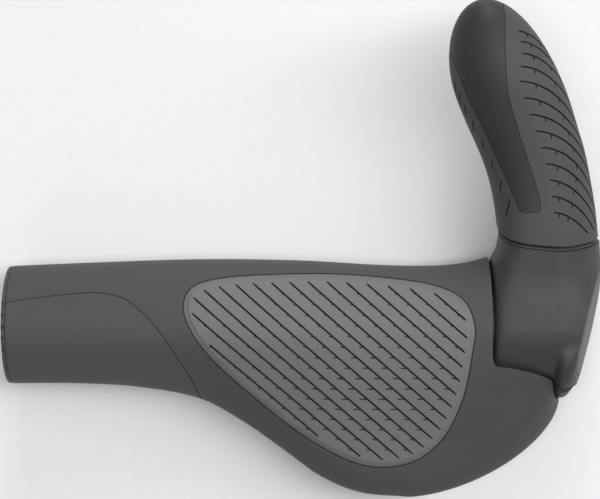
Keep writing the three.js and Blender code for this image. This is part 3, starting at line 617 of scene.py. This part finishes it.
root_left = through(spread(
    [(-0.7, 0), (0.705, 0), (0.79, 0.29), (0.876, 0.76), (1, 1)],
    on_root, (CLAMP_X, HORN_X - HORN_WIDE - CLAMP_X)))
root_right = through(spread(
    [(-0.7, 1), (0.171, 1), (0.513, 0.42), (0.726, 0.12), (1, 0)],
    on_root, (HORN_RIGHT, FULL_RIGHT - HORN_RIGHT)))
root_ridge = through(spread([(0.171, 1), (1, 0)], on_root, (HORN_X, CROWN_X - HORN_X)))
root_high = through(spread(
    [(0, 1), (0.256, 0.81), (0.427, 0.54), (0.598, 0.31), (1, 0)],
    on_root, (HORN_HIGH, RING_R - HORN_HIGH)))
root_rise = through(spread(
    [(0, 0), (0.342, 0.171), (0.684, 0.598), (1, 1)], on_root, (0, HORN_RISE * COLLAR_Y)))
left_power = through(spread(
    [(-0.171, 16), (0.256, 12), (0.598, 5), (1, 3.2), (1.4, 2.5), (2, 2)], on_root, (0, 1)))
right_power = through(spread([(0.171, 2), (1, 1.5), (2, 2)], on_root, (0, 1)))

# %% Horn curves
horn_x = through(spread([
    (0, 0), (0.158, 0.085), (0.328, 0.237), (0.498, 0.463), (0.665, 0.678), (0.815, 0.836), (1, 1),
], on_horn, (HORN_X, -HORN_SWEEP)))
horn_wide = through(spread(
    [(0, 1), (0.248, 1.012), (0.415, 1.066), (0.582, 1.109), (1, 1.085)], on_horn, (0, HORN_WIDE)))
horn_high = through(spread(
    [(0, 1), (0.248, 0.944), (0.448, 0.944), (0.648, 0.976), (1, 0.976)], on_horn, (0, HORN_HIGH)))


def round_section(y, turn):
    """Across and up, each from -1 to 1, for a turn round a section: its cosine and sine, with
    their signs kept, raised to 2 / p."""
    c, s = np.cos(turn), np.sin(turn)
    power = 2 / np.where(c < 0, left_power(y), right_power(y))
    return np.sign(c) * np.abs(c) ** power, np.sign(s) * np.abs(s) ** power


def even_turns(around):
    """Evenly spaced turns round a section."""
    return np.arange(around) / around * 2 * np.pi


# %% Root and lug
REAR_EASE, CROWNING = 0.35, 0.07


def root_rows(y, around=240):
    """Sections across Y: behind the axis the height is a circle's, and in front the root's own.
    The top falls from its ridge to the inboard side by the square of the share across."""
    y = np.asarray(y, float)[:, None]
    across, up = round_section(y, even_turns(around))
    ring = RING_R - REAR_EASE * smooth(4, 12, -y)
    high = np.where(y < 0, np.sqrt(np.maximum(ring**2 - y**2, 0.01)), root_high(y))
    high = high * (1 - CROWNING * np.minimum(across, 0) ** 2)
    shear = np.tan(END_SLANT_UP) * (1 - smooth(COLLAR_Y / 6, COLLAR_Y, y))
    reach = np.where(across < 0, root_ridge(y) - root_left(y), root_right(y) - root_ridge(y))
    x = root_ridge(y) + across * reach - np.maximum(across, 0) * shear * high * up
    return np.stack([x, y + 0 * x, high * up + root_rise(y)], -1)


def lug_rows():
    """The swelling behind the ring: its radius goes from the bore's wall to its full reach by a
    smooth step of the cosine of the turn, and its outboard slope eases up away from the rear."""
    shares = np.concatenate([np.linspace(-0.36, 1, 9), np.linspace(1.2, 3.45, 10)])
    x = (CROWN_X + LUG_WIDTH * shares)[:, None]
    share = smooth(0, 0.85, np.cos(even_turns(120)))
    slope = LUG_EASE + (1 - LUG_EASE) * share**2
    reach = lug_reach(np.where(x < LUG_X, x, LUG_X + (x - LUG_X) * slope))
    r = BORE_R + LUG_WALL + (reach - BORE_R - LUG_WALL) * share
    angle = even_turns(120) + np.radians(8)
    return np.stack([x + 0 * r, -r * np.cos(angle), r * np.sin(angle)], -1)


# %% Horn
def horn_points(y, turn, inset=0.0):
    """An oval section at each y, which closes over the last stretch as a quarter ellipse does."""
    into = np.clip((y - (HORN_TIP_Y - TIP_LENGTH)) / (TIP_LENGTH - inset), 0, 1)
    close = np.sqrt(1 - into**2)
    across, up = round_section(y, turn)
    return np.stack([
        horn_x(y) + (horn_wide(y) - inset) * close * across, y + 0 * across,
        HORN_RISE * y + (horn_high(y) - inset) * close * up,
    ], -1)


def horn_rows(inset, start, around=240, steps=100):
    """Sections from a start, which may differ round the horn, to the tip, closer near the tip."""
    share = np.sin(np.linspace(0, np.pi / 2, steps)) * 0.5 + np.linspace(0, 1, steps) * 0.5
    y = start + (HORN_TIP_Y - inset - 0.002 - start) * share[:, None]
    return horn_points(y, np.broadcast_to(even_turns(around), (steps, around)), inset)


def horn_solid(name, inset=0.0, start=10.0, around=120, steps=60):
    """The whole horn, with its skin moved inwards by the inset, from a start in y."""
    return skin(name, horn_rows(inset, np.full(around, start), around, steps))


# %% [markdown]
# ## The collar's plane
# A thin ring parts the hard root from the rubber cover. It lies in one plane that leans back, so
# from above it shows as a curve. To start a row of points in that plane, each point slides along
# the horn by what it is short of it, a few times over.

# %% Collar plane
collar_normal = np.array([0.085, 1, 0.336]) / np.linalg.norm([0.085, 1, 0.336])
collar_centre = np.array([HORN_X, COLLAR_Y, HORN_RISE * COLLAR_Y])


def collar_y(turn, shift, inset=0.0):
    """The y at which the horn's skin meets the collar's plane, shifted along its normal."""
    y = np.full_like(turn, COLLAR_Y)
    for _ in range(14):
        short = (horn_points(y, turn, inset) - collar_centre) @ collar_normal - shift
        y = y - short / collar_normal[1]
    return y


def collar_row(shift, inset, around=240):
    """Points round the horn in the collar's plane, shifted along the plane's normal."""
    turn = even_turns(around)
    return horn_points(collar_y(turn, shift, inset), turn, inset)


print("collar at top and sides: y =", collar_y(np.radians([90.0, 0, 180]), 0).round(1))

# %% [markdown]
# ## Places on the bar end
# Two moves are used again and again: one takes a piece made on the X axis to the slanted end
# face, and the other takes it to the screw, which crosses the pinch slot behind the handlebar.

# %% Places on the bar end
end_normal = np.array([
    np.cos(END_SLANT_UP) * np.cos(END_SLANT_REAR),
    -np.cos(END_SLANT_UP) * np.sin(END_SLANT_REAR),
    np.sin(END_SLANT_UP),
])
end_place = onto((END_X, 0, 0), end_normal)
SLOT_TURN, SCREW_OUT, SLOT_WIDTH = np.radians(29), BORE_R + 3.2, 2
SCREW_R, HEAD_R, HEAD_TOP, HEAD_LOW = 2, 3, -4.2, -7
slot_out = Vector((0, -np.cos(SLOT_TURN), np.sin(SLOT_TURN)))
slot_up = Vector((0, np.sin(SLOT_TURN), np.cos(SLOT_TURN)))
screw_axes = Matrix((slot_up, slot_out, slot_up.cross(slot_out))).transposed().to_4x4()
screw_middle = Vector((LUG_X, 0, 0)) + slot_out * SCREW_OUT
screw_place = Matrix.Translation(screw_middle * MM) @ screw_axes
print("screw's middle:", [round(value, 1) for value in screw_middle])

# %% [markdown]
# ## The clamp's moulding
# Ring, root and lug are joined first and then turned into one even mesh of small cells, which is
# eased a few times. That gives the soft fillets of a moulded part.

# %% Joined moulding
CELL_SIZE, EASE_TIMES = 0.32, 7
ring_y = (RING_R - REAR_EASE) * np.sin(np.linspace(-0.497, 0, 40) * np.pi)
stations = np.concatenate([ring_y, np.arange(0.6, COLLAR_Y + 7, 0.6)])
clamp = skin("clamp_moulding", root_rows(stations))
carve(clamp, skin("lug", lug_rows()), "UNION")
cells = clamp.modifiers.new("even_cells", "REMESH")
cells.mode, cells.voxel_size = "VOXEL", CELL_SIZE * MM
ease = clamp.modifiers.new("ease", "SMOOTH")
ease.factor, ease.iterations = 0.5, EASE_TIMES
apply_modifiers(clamp)
print("moulding:", len(clamp.data.vertices), "points in cells of", CELL_SIZE, "mm")

# %% [markdown]
# ## A broad shoulder over the lug
# On the real moulding the ring's top runs into the lug without a crease. More easing makes such
# a shoulder, but it would also melt the lug's lower side, where the slot and the screw need it
# firm. A vertex group limits it: its weight is the product of three smooth steps, one along each
# axis, so it fades out towards the ring's inboard side, the front and the lower half.

# %% Softened shoulder
SHOULDER_TIMES = 60
places = np.zeros(len(clamp.data.vertices) * 3)
clamp.data.vertices.foreach_get("co", places)
point_x, point_y, point_z = places.reshape(-1, 3).T / MM
outboard, rearward = smooth(CROWN_X - 4, CROWN_X - 1, point_x), smooth(-1, -4, point_y)
blend = outboard * rearward * smooth(8, 11, point_z)
shoulder = clamp.vertex_groups.new(name="shoulder")
for share in np.linspace(0.1, 1, 10):
    chosen = np.flatnonzero((blend > share - 0.1) & (blend <= share))
    shoulder.add(chosen.tolist(), float(share), "REPLACE")
soften = clamp.modifiers.new("soften", "SMOOTH")
soften.factor, soften.iterations, soften.vertex_group = 0.5, SHOULDER_TIMES, "shoulder"
apply_modifiers(clamp)
print("shoulder:", int(np.sum(blend > 0)), "points")

# %% [markdown]
# ## Crisp cuts in the moulding
# Easing would round every edge, so the sharp ones are cut last: the collar's plane, the slanted
# end, the bores, the cap's seat, the pinch slot, and the rooms of the screw and its head. A
# slimmer horn is joined on as the core that the rubber cover grips.

# %% Cuts in the clamp
CAP_THICK, CORE_END, STUB_INSET = 1.2, LUG_X - 4, 2.7
carve(clamp, half_space("beyond_collar", collar_centre, collar_normal))
carve(clamp, half_space("beyond_end", (END_X, 0, 0), end_normal))
carve(clamp, horn_solid("stub", STUB_INSET, 14.0, 64, 30), "UNION")
carve(clamp, rod("core_room", CORE_R + GAP, -5, CORE_END + GAP))
carve(clamp, rod("bar_room", BORE_R, -5, END_X - CAP_THICK))
carve(clamp, moved(rod("cap_room", CAP_R + 0.12, -CAP_THICK - GAP, END_DOME), end_place))
half_slot = SLOT_WIDTH / 2
slot_room = block("slot", (-half_slot, BORE_R - 2 - SCREW_OUT, -60), (half_slot, 20, 60))
carve(clamp, moved(slot_room, screw_place))
carve(clamp, moved(rod("screw_room", SCREW_R + GAP, -4, 5.5, 40), screw_place))
carve(clamp, moved(rod("head_room", HEAD_R + GAP, -30, -3, 64), screw_place))
finish_piece(clamp, "bar_end", "bar_end_core", 38)

# %% [markdown]
# ## The thumb panel's outline
# The panel is a second rubber on top of the horn. Its outline follows the horn: each point is a
# share of the horn's length and of its half width there. Near the tip it reaches past the horn's
# end and its inboard side, so that the panel wraps both.

# %% Thumb outline
THUMB_THICK, THUMB_DOWN = 1.2, 13.8
THUMB_LOW = HORN_RISE * (HORN_TIP_Y - TIP_LENGTH) + HORN_HIGH - THUMB_DOWN
along, aside = np.array([
    (0.1, -0.53), (0.1, -0.4), (0.102, -0.27), (0.125, -0.222), (0.175, -0.216),
    (0.263, -0.245), (0.44, -0.232), (0.607, -0.159), (0.782, 0.037), (0.948, 0.228),
    (1.115, 0.193), (1.115, -0.807), (0.948, -1.217), (0.762, -0.894), (0.595, -0.842),
    (0.445, -0.792), (0.3, -0.767), (0.165, -0.675), (0.115, -0.62),
]).T
thumb_y = COLLAR_Y + along * HORN_LENGTH
thumb_x = horn_x(thumb_y) + aside * horn_wide(thumb_y)
thumb_outline = ring_through(np.stack([thumb_x, thumb_y], 1), 14)
print("thumb panel:", round(float(np.ptp(thumb_outline[:, 1])), 1), "mm long in plan")

# %% [markdown]
# ## The bar end's rubber cover
# The cover is a shell over the horn. Its open end lies in the collar's slanted plane and has a
# rounded lip. Its ribs are grooves with two short ticks each. The outboard ones start near the
# top and fall back as they go round the side. The inboard ones are short strokes lower on the
# other side, and a margin round the thumb panel is spared from all of them.

# %% Cover's skin
COVER_THICK, COVER_SHIFT, LIP = 2.4, 1.1, 0.3


def cover_rows():
    """The mouth's inner edge, the lip as a quarter circle, and the outside to the tip."""
    turn = even_turns(240)
    bend = np.linspace(0, np.pi / 2, 6)[-2::-1]
    shifts, insets = COVER_SHIFT + LIP * (1 - np.sin(bend)), LIP * (1 - np.cos(bend))
    lip = [collar_row(shift, inset) for shift, inset in zip(shifts, insets)]
    outside = horn_rows(0, collar_y(turn, COVER_SHIFT + LIP), len(turn), 150)
    return np.concatenate([[collar_row(COVER_SHIFT, COVER_THICK - 0.3)], lip, outside])


# %% Rib lines
RIB_COUNT, RIB_PITCH, RIB_EVEN, RIB_CLOSING, RIB_START = 13, 4.07, 8, 0.1, 5.95
RIB_FROM, RIB_FROM_TIP, RIB_TO, RIB_SWEEP = 86, 60, -12, 16
INNER_COUNT, INNER_START, INNER_PITCH, INNER_CLOSING = 8, 10.2, 6.95, 0.37
INNER_FROM, INNER_FROM_TIP, INNER_REACH, INNER_SWEEP = 47, 20, 15, 20


def rib_lines():
    """Points of each outboard rib, as y and turn: its y falls as 1 - cosine of the angle gone.
    The pitch is even at first, and then each one is a tenth shorter than the one before."""
    closing = (1 - RIB_CLOSING) ** np.maximum(np.arange(RIB_COUNT) - RIB_EVEN + 1, 0)
    first = COLLAR_Y + RIB_START + np.concatenate([[0], np.cumsum(RIB_PITCH * closing)[:-1]])
    towards_tip = smooth(HORN_TIP_Y - TIP_LENGTH, HORN_TIP_Y - TIP_LENGTH / 4, first)
    start = RIB_FROM + (RIB_FROM_TIP - RIB_FROM) * towards_tip
    angle = np.linspace(start, RIB_TO, 48, axis=1)
    fall = RIB_SWEEP * (1 - np.cos(np.radians(start[:, None] - angle)))
    return first[:, None] - fall, np.radians(angle)


def inner_lines():
    """The inboard ones: their y falls as the sine of the angle gone, so at once."""
    k = np.arange(INNER_COUNT)
    first = COLLAR_Y + INNER_START + INNER_PITCH * k - INNER_CLOSING * k**2
    start = INNER_FROM + (INNER_FROM_TIP - INNER_FROM) * k / (INNER_COUNT - 1)
    angle = np.linspace(start, start - INNER_REACH, 48, axis=1)
    fall = INNER_SWEEP * np.sin(np.radians(start[:, None] - angle))
    return first[:, None] - fall, np.pi - np.radians(angle)


# %% Rib cutters
RIB_WIDTH, RIB_DEPTH, RIB_ROOF, RIB_CLEAR = 0.45, 0.6, 1.2, 2
RIB_TICKS, RIB_TICK_LENGTH, THUMB_SPARED = (0.17, 0.42), 1.2, 1.3


def skin_bar(y, turn, width, depth):
    """A bar let into the horn's skin along points given by y and turn."""
    centre = horn_points(y, turn)
    down = centre - horn_points(y, turn, -1)
    along = np.gradient(centre, axis=0)
    side = np.cross(down, along)
    down, side = (v / np.linalg.norm(v, axis=-1, keepdims=True) for v in (down, side))
    return bar_rows(centre, side, down, width, depth, RIB_ROOF)


def rib_cutters(lines):
    """Grooves along these lines, and two short ticks that point back from each."""
    ribs, ticks = [], []
    fade = np.linspace(1, 0.3, 5)
    for y, turn in zip(*lines):
        keep = y > collar_y(turn, COVER_SHIFT + RIB_CLEAR)
        y, turn = y[keep], turn[keep]
        ease = ends_eased(len(y), 0.07)
        ribs.append(skin_bar(y, turn, RIB_WIDTH * (0.4 + 0.6 * ease), RIB_DEPTH * ease))
        for share in RIB_TICKS:
            i = int(share * len(y))
            line = y[i] - np.linspace(0, RIB_TICK_LENGTH, 5)
            level = turn[i] + np.linspace(0, 0.03, 5)
            ticks.append(skin_bar(line, level, TICK_WIDTH * fade**0.4, TICK_DEPTH * fade))
    print(len(ribs), "ribs,", len(ticks), "ticks")
    return bars("ribs", ribs), bars("ticks", ticks)


# %% Ribbed cover
cover = two_slots(skin("bar_end_rubber", cover_rows()))
for cutter in rib_cutters(rib_lines()) + rib_cutters(inner_lines()):
    spared = grown(thumb_outline, THUMB_SPARED)
    carve(cutter, prism("spared", spared, THUMB_LOW - THUMB_SPARED, 60))
    carve(cover, cutter)
# the marked rib and tick cuts get painted shade in the finish
mark_grooves(cover)
pocket = prism("thumb_pocket", grown(thumb_outline, 0.12), THUMB_LOW - 0.12, 60)
carve(cover, carve(pocket, horn_solid("under_thumb", THUMB_THICK + 0.1)))
carve(cover, horn_solid("horn_room", COVER_THICK, 10.0, 64, 40))
finish_piece(cover, "bar_end", "bar_end_cover", 34)

# %% Thumb panel
thumb = horn_solid("thumb_skin", 0, 20.0, 240, 150)
carve(thumb, horn_solid("under_thumb", THUMB_THICK))
carve(thumb, prism("thumb_shape", thumb_outline, THUMB_LOW, 60), "INTERSECT")
finish_piece(thumb, "bar_end", "thumb_panel", 34)

# %% Collar ring
COLLAR_PROFILE = [(0.1, 2.2), (0.1, 0.35), (0.18, 0.22), (0.5, 0.22), (0.58, 0.35), (0.58, 2.2)]
collar_rows = np.stack([collar_row(shift, inset) for shift, inset in COLLAR_PROFILE])
collar = skin("collar_band", collar_rows, loop=True)
finish_piece(collar, "bar_end", "collar_ring", 34)

# %% [markdown]
# ## Small turned parts
# The end cap, the screw and its washer are turned shapes: a profile carried round an axis. The
# cap's face is slightly crowned and its edge eased, so that it catches a thin line of light.

# %% End cap, screw and washer
cap = turned("cap_disc", [
    (-CAP_THICK, 0.05), (-CAP_THICK, CAP_R - 0.2), (0.15 - CAP_THICK, CAP_R), (-0.35, CAP_R),
    (-0.12, CAP_R - 0.08), (0, CAP_R - 0.3), (0.12, CAP_R - 1.2), (0.2, CAP_R - 4), (0.28, 0.05),
], 128)
finish_piece(moved(cap, end_place), "bar_end", "end_cap", 40)

screw = turned("screw_turned", [
    (4.4, 0.05), (4.4, 1.6), (4, SCREW_R), (HEAD_TOP, SCREW_R), (HEAD_TOP, HEAD_R - 0.15),
    (HEAD_TOP - 0.15, HEAD_R), (HEAD_LOW + 0.35, HEAD_R), (HEAD_LOW, HEAD_R - 0.35),
    (HEAD_LOW, 0.05),
], 72)
carve(screw, rod("socket", 1.5 / np.cos(np.pi / 6), HEAD_LOW - 1, HEAD_LOW + 1.7, 6))
finish_piece(moved(screw, screw_place), "bar_end", "clamp_screw", 30)

washer = turned("washer_disc", [
    (-3.9, SCREW_R + 0.3), (-3.9, HEAD_R - 0.08), (-3.82, HEAD_R), (-3.38, HEAD_R),
    (-3.3, HEAD_R - 0.08), (-3.3, SCREW_R + 0.3),
], 64, loop=True)
finish_piece(moved(washer, screw_place), "bar_end", "screw_washer", 30)

# %% [markdown]
# ## The hard core
# A hard sleeve lines the grip. It shows at the inboard end as a thin rim with a few setting
# marks, and through the bore. Its outboard end is slotted so that the clamp can squeeze it. The
# marks are small pockets, the middle one wider, with the attribute for painted shade in a cut.

# %% Core sleeve
FLANGE_R = BARREL_R - 0.06
CORE_SLOTS, CORE_SLOT_LONG = 4, 16
MARK_TURN, MARK_START, MARK_DEPTH = np.radians(11.25), 0.12, 0.8
core = two_slots(turned("core_moulding", [
    (0.25, BORE_R), (0, BORE_R + 0.25), (0, FLANGE_R - 0.2), (0.15, FLANGE_R),
    (FLANGE_THICK, FLANGE_R), (FLANGE_THICK, CORE_R), (CORE_END, CORE_R), (CORE_END, BORE_R),
], 144, loop=True))
for k in range(CORE_SLOTS):
    cut = block("slot", (CORE_END - CORE_SLOT_LONG, -1, 6), (CORE_END + 2, 1, 20))
    carve(core, moved(cut, Matrix.Rotation((k + 0.5) * 2 * np.pi / CORE_SLOTS, 4, "X")))
for k in range(-2, 3):
    wide, far = (0.6, 0.8) if k == 0 else (0.35, 0.55)
    cut = block("mark", (MARK_START, -wide, FLANGE_R - MARK_DEPTH), (far, wide, FLANGE_R + 2))
    carve(core, marking(moved(cut, Matrix.Rotation(MARK_TURN * k, 4, "X"))))
mark_grooves(core)
finish_piece(core, "grip", "core_sleeve", 30)

# %% [markdown]
# ## Shader maths
# A material here is an expression: mask * 0.4 + noise, say. The class below wraps one socket of
# a node, and each arithmetic sign adds the Math node that does it, so the formula can be read
# straight from the line that makes it. The reflected forms let a plain number stand first.

# %% Socket wrapper
class Value:
    """One output socket, with arithmetic that adds Math nodes to its material."""

    def __init__(self, maker, socket):
        self.maker, self.socket = maker, socket

    def _math(self, operation, *values):
        return self.maker.node("ShaderNodeMath", {"operation": operation}, dict(enumerate(values)))

    def __add__(self, other):
        return self._math("ADD", self, other)

    def __radd__(self, other):
        return self._math("ADD", other, self)

    def __sub__(self, other):
        return self._math("SUBTRACT", self, other)

    def __rsub__(self, other):
        return self._math("SUBTRACT", other, self)

    def __mul__(self, other):
        return self._math("MULTIPLY", self, other)

    def __rmul__(self, other):
        return self._math("MULTIPLY", other, self)

    def between(self, low, high):
        """0 below low, 1 above high, and a smooth step between."""
        inputs = {"Value": self, "From Min": low, "From Max": high}
        return self.maker.node("ShaderNodeMapRange", {"interpolation_type": "SMOOTHSTEP"}, inputs)


# %% Finish
class Finish:
    """A material with one Principled shader, built up from nodes."""

    def __init__(self, name, roughness, **constants):
        self.material = bpy.data.materials.new(name)
        self.material.use_nodes = True
        self.tree = self.material.node_tree
        self.shader = next(n for n in self.tree.nodes if n.type == "BSDF_PRINCIPLED")
        self.shader.inputs["Roughness"].default_value = roughness
        for socket, value in constants.items():
            self.shader.inputs[socket.replace("_", " ")].default_value = value
        self.place = self.node("ShaderNodeTexCoord", {}, {}, "Object")

    def node(self, kind, settings, values, output=0):
        """Adds a node: its settings first, then a value or a link for each socket."""
        made = self.tree.nodes.new(kind)
        for key, value in settings.items():
            setattr(made, key, value)
        for key, value in values.items():
            if isinstance(value, Value):
                self.tree.links.new(value.socket, made.inputs[key])
            else:
                made.inputs[key].default_value = value
        return Value(self, made.outputs[output])

    def noise(self, size, detail=2.0, roughness=0.5, distortion=0.0):
        """Noise whose cells are about size millimetres across."""
        values = {
            "Vector": self.place, "Scale": 1 / (size * MM), "Detail": detail,
            "Roughness": roughness, "Distortion": distortion,
        }
        return self.node("ShaderNodeTexNoise", {}, values, "Fac")

    def cells(self, size):
        """Distance to the nearest of scattered points, about size millimetres apart."""
        values = {"Vector": self.place, "Scale": 1 / (size * MM)}
        return self.node("ShaderNodeTexVoronoi", {"feature": "F1"}, values, "Distance")

    def mix(self, factor, a, b):
        """One colour into another by a factor."""
        return self.node("ShaderNodeMix", {"data_type": "RGBA"}, {0: factor, 6: a, 7: b}, 2)

    def painted_groove_shade(self, colour, amount=1.0):
        """Paints shade into the cut lines: darkens a colour where the attribute groove is 1."""
        groove = self.node("ShaderNodeAttribute", {"attribute_name": "groove"}, {}, "Fac")
        # painted shade: the cut lines go towards this near-black grey
        return self.mix(groove * amount, colour, shade(0.018))

    def feed(self, **links):
        """Links values to the shader; an underscore in a name stands for a space."""
        for socket, value in links.items():
            self.tree.links.new(value.socket, self.shader.inputs[socket.replace("_", " ")])

    def relief(self, height, depth):
        """Bumps the surface by a height from 0 to 1, at a depth in millimetres."""
        values = {"Height": height, "Distance": depth * MM, "Strength": 1.0}
        self.feed(Normal=self.node("ShaderNodeBump", {}, values, "Normal"))


def shade(level, tint=(1.0, 1.0, 1.0)):
    """A grey of this linear level, slightly tinted."""
    return (level * tint[0], level * tint[1], level * tint[2], 1)


# %% [markdown]
# ## Rubber
# Moulded rubber is dull but never even. A spark-eroded mould leaves a fine grain, handling
# leaves patches that are a little smoother, and a few specks of dust sit in the grain. The
# grain is a bump; the patches change colour and roughness together by a small amount. Painted
# shade darkens the cut lines, where the attribute groove is 1.

# %% Rubber finish
def rubber(name, level, tint, grain=0.22, depth=0.02, rough=0.62, patch=0.1, dust=0.25):
    """Its tone is wide noise times patch, plus a little fine noise; specks of dust are where two
    noises are both high; the bump is fine noise and small cells."""
    made = Finish(name, rough, Specular_IOR_Level=0.3)
    fine, wide = made.noise(grain, 3.0, 0.6), made.noise(14, 3.0, 0.55, 0.4)
    pits = made.cells(grain * 2.2)
    specks = made.noise(0.55, 1.0).between(0.7, 0.78) * made.noise(9, 2.0).between(0.5, 0.66)
    tone = (wide - 0.5) * patch * 4 + (fine - 0.5) * 0.25 + 0.5
    colour = made.mix(tone.between(0.0, 1.0), shade(level * 0.86, tint), shade(level * 1.14, tint))
    dusty = made.mix(specks * dust, colour, shade(0.14, (1.0, 0.98, 0.95)))
    uneven = rough + (wide - 0.5) * 0.22 + (fine - 0.5) * 0.12
    # painted shade in the cut lines, a little uneven by the wide noise
    made.feed(Base_Color=made.painted_groove_shade(dusty, 0.75 + wide * 0.3), Roughness=uneven)
    made.relief(fine * 0.6 + pits * 0.4, depth)
    return made.material


def dress(piece, material):
    """Gives a piece one material all over."""
    piece.data.materials.clear()
    piece.data.materials.append(material)
    print(piece.name, "wears", material.name)


dress(grip, rubber("barrel_rubber", 0.062, (1.0, 1.0, 1.0)))
dress(panel, rubber("finger_rubber", 0.066, (0.985, 1.0, 1.02)))
dress(cover, rubber("horn_rubber", 0.064, (1.0, 1.0, 0.985), 0.2))
dress(thumb, rubber("thumb_rubber_finish", 0.034, (1.0, 1.0, 1.0), 0.18, 0.008, 0.55))
dress(pad, rubber("palm_rubber", 0.15, (0.985, 1.0, 1.02), 0.16, 0.006, 0.6, 0.05, 0.1))

# %% [markdown]
# ## Hard plastic and steel
# The clamp is glass-filled plastic: a coarser, shinier grain than rubber, with faint flow marks
# from the mould. The cap is a smoother grey plastic. The screw is blackened steel, a little
# brighter where the finish is worn.

# %% Plastic and steel finishes
def plastic(name, level, tint, grain=0.35, depth=0.01, rough=0.45, gloss=0.3):
    """Its tone is flow noise plus fine noise, lighter and duller where it is scuffed; painted shade
    darkens its cut lines.
    """
    made = Finish(name, rough, Specular_IOR_Level=gloss)
    fine, flow = made.noise(grain, 4.0, 0.65), made.noise(9, 4.0, 0.6, 1.6)
    scuffs = made.noise(2.2, 6.0, 0.7, 2.5).between(0.62, 0.8)
    tone = (flow - 0.5) * 0.5 + (fine - 0.5) * 0.4 + 0.5
    colour = made.mix(tone.between(0.0, 1.0), shade(level * 0.88, tint), shade(level * 1.12, tint))
    worn = made.mix(scuffs * 0.25, colour, shade(level * 1.6, tint))
    uneven = rough + (flow - 0.5) * 0.2 + scuffs * 0.12 + (fine - 0.5) * 0.15
    # painted shade in the cut lines, such as the core's setting marks
    made.feed(Base_Color=made.painted_groove_shade(worn), Roughness=uneven)
    made.relief(fine, depth)
    return made.material


def blackened(name):
    """Dark steel by fine noise, paler and smoother in its worn spots."""
    made = Finish(name, 0.4, Metallic=1.0)
    fine, spots = made.noise(0.3, 4.0, 0.7), made.noise(1.6, 3.0).between(0.6, 0.75)
    colour = made.mix(fine, shade(0.07, (1.0, 0.98, 0.94)), shade(0.11, (1.0, 0.99, 0.97)))
    worn = made.mix(spots * 0.4, colour, shade(0.2, (1.0, 0.97, 0.92)))
    made.feed(Base_Color=worn, Roughness=0.38 + fine * 0.15 - spots * 0.1)
    made.relief(fine, 0.004)
    return made.material


dress(clamp, plastic("clamp_finish", 0.041, (1.0, 1.0, 1.01), rough=0.52, gloss=0.32))
dress(collar, plastic("collar_finish", 0.06, (1.0, 1.0, 1.0), 0.25, 0.006, 0.4))
dress(cap, plastic("cap_finish", 0.062, (1.0, 1.0, 1.0), 0.25, 0.005, 0.5))
dress(core, plastic("core_finish", 0.06, (1.0, 1.0, 1.02), 0.3, 0.006, 0.5))
steel = blackened("blackened_steel")
for steel_piece in (screw, washer):
    dress(steel_piece, steel)

# %% [markdown]
# ## Floor and light
# The grip was lit softly, as product pictures often are. A long narrow panel above its outboard
# side gives the clamp its sheen, a tall one in front lights the steep front faces, and a weak one
# behind opens the shadows. Each was first lit alone, to see what it adds to every part of the
# picture, and then their strengths were set together. A pale floor lies just under the part.

# %% Floor
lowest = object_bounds()[0].z / MM
floor = block("floor", (-900, -900, lowest - 3), (1100, 1000, lowest - 0.2))
paper = Finish("pale_floor", 0.8)
paper.feed(Base_Color=paper.mix(paper.noise(2.5, 4.0), shade(0.8), shade(0.84)))
dress(floor, paper.material)
print("floor at", round(lowest - 0.2, 1), "mm")


# %% Lights
def light_panel(name, place, size, watts, towards):
    """A rectangular lamp that faces a point, its first side in the upright plane through it."""
    lamp = bpy.data.objects.new(name, bpy.data.lights.new(name, "AREA"))
    bpy.context.collection.objects.link(lamp)
    lamp.data.shape, lamp.data.size, lamp.data.size_y = "RECTANGLE", size[0] * MM, size[1] * MM
    lamp.data.energy = watts
    lamp.location = Vector(place) * MM
    aim = (Vector(towards) - Vector(place)).to_track_quat("-Z", "X")
    lamp.rotation_mode, lamp.rotation_quaternion = "QUATERNION", aim
    print(name, watts, "W")


light_panel("long_panel", (400, 90, 710), (1500, 200), 7.5, (110, 30, 0))
light_panel("front_panel", (100, 1000, 250), (1200, 300), 6.3, (70, 0, 0))
light_panel("rear_panel", (-250, -800, 450), (1000, 500), 0.9, (70, 0, 0))
world = bpy.data.worlds.new("studio")
bpy.context.scene.world = world
world.use_nodes = True
sky = world.node_tree.nodes["Background"]
sky.inputs["Color"].default_value = (0.9, 0.93, 1, 1)
sky.inputs["Strength"].default_value = 0.24
bpy.context.scene.view_settings.view_transform = "Standard"
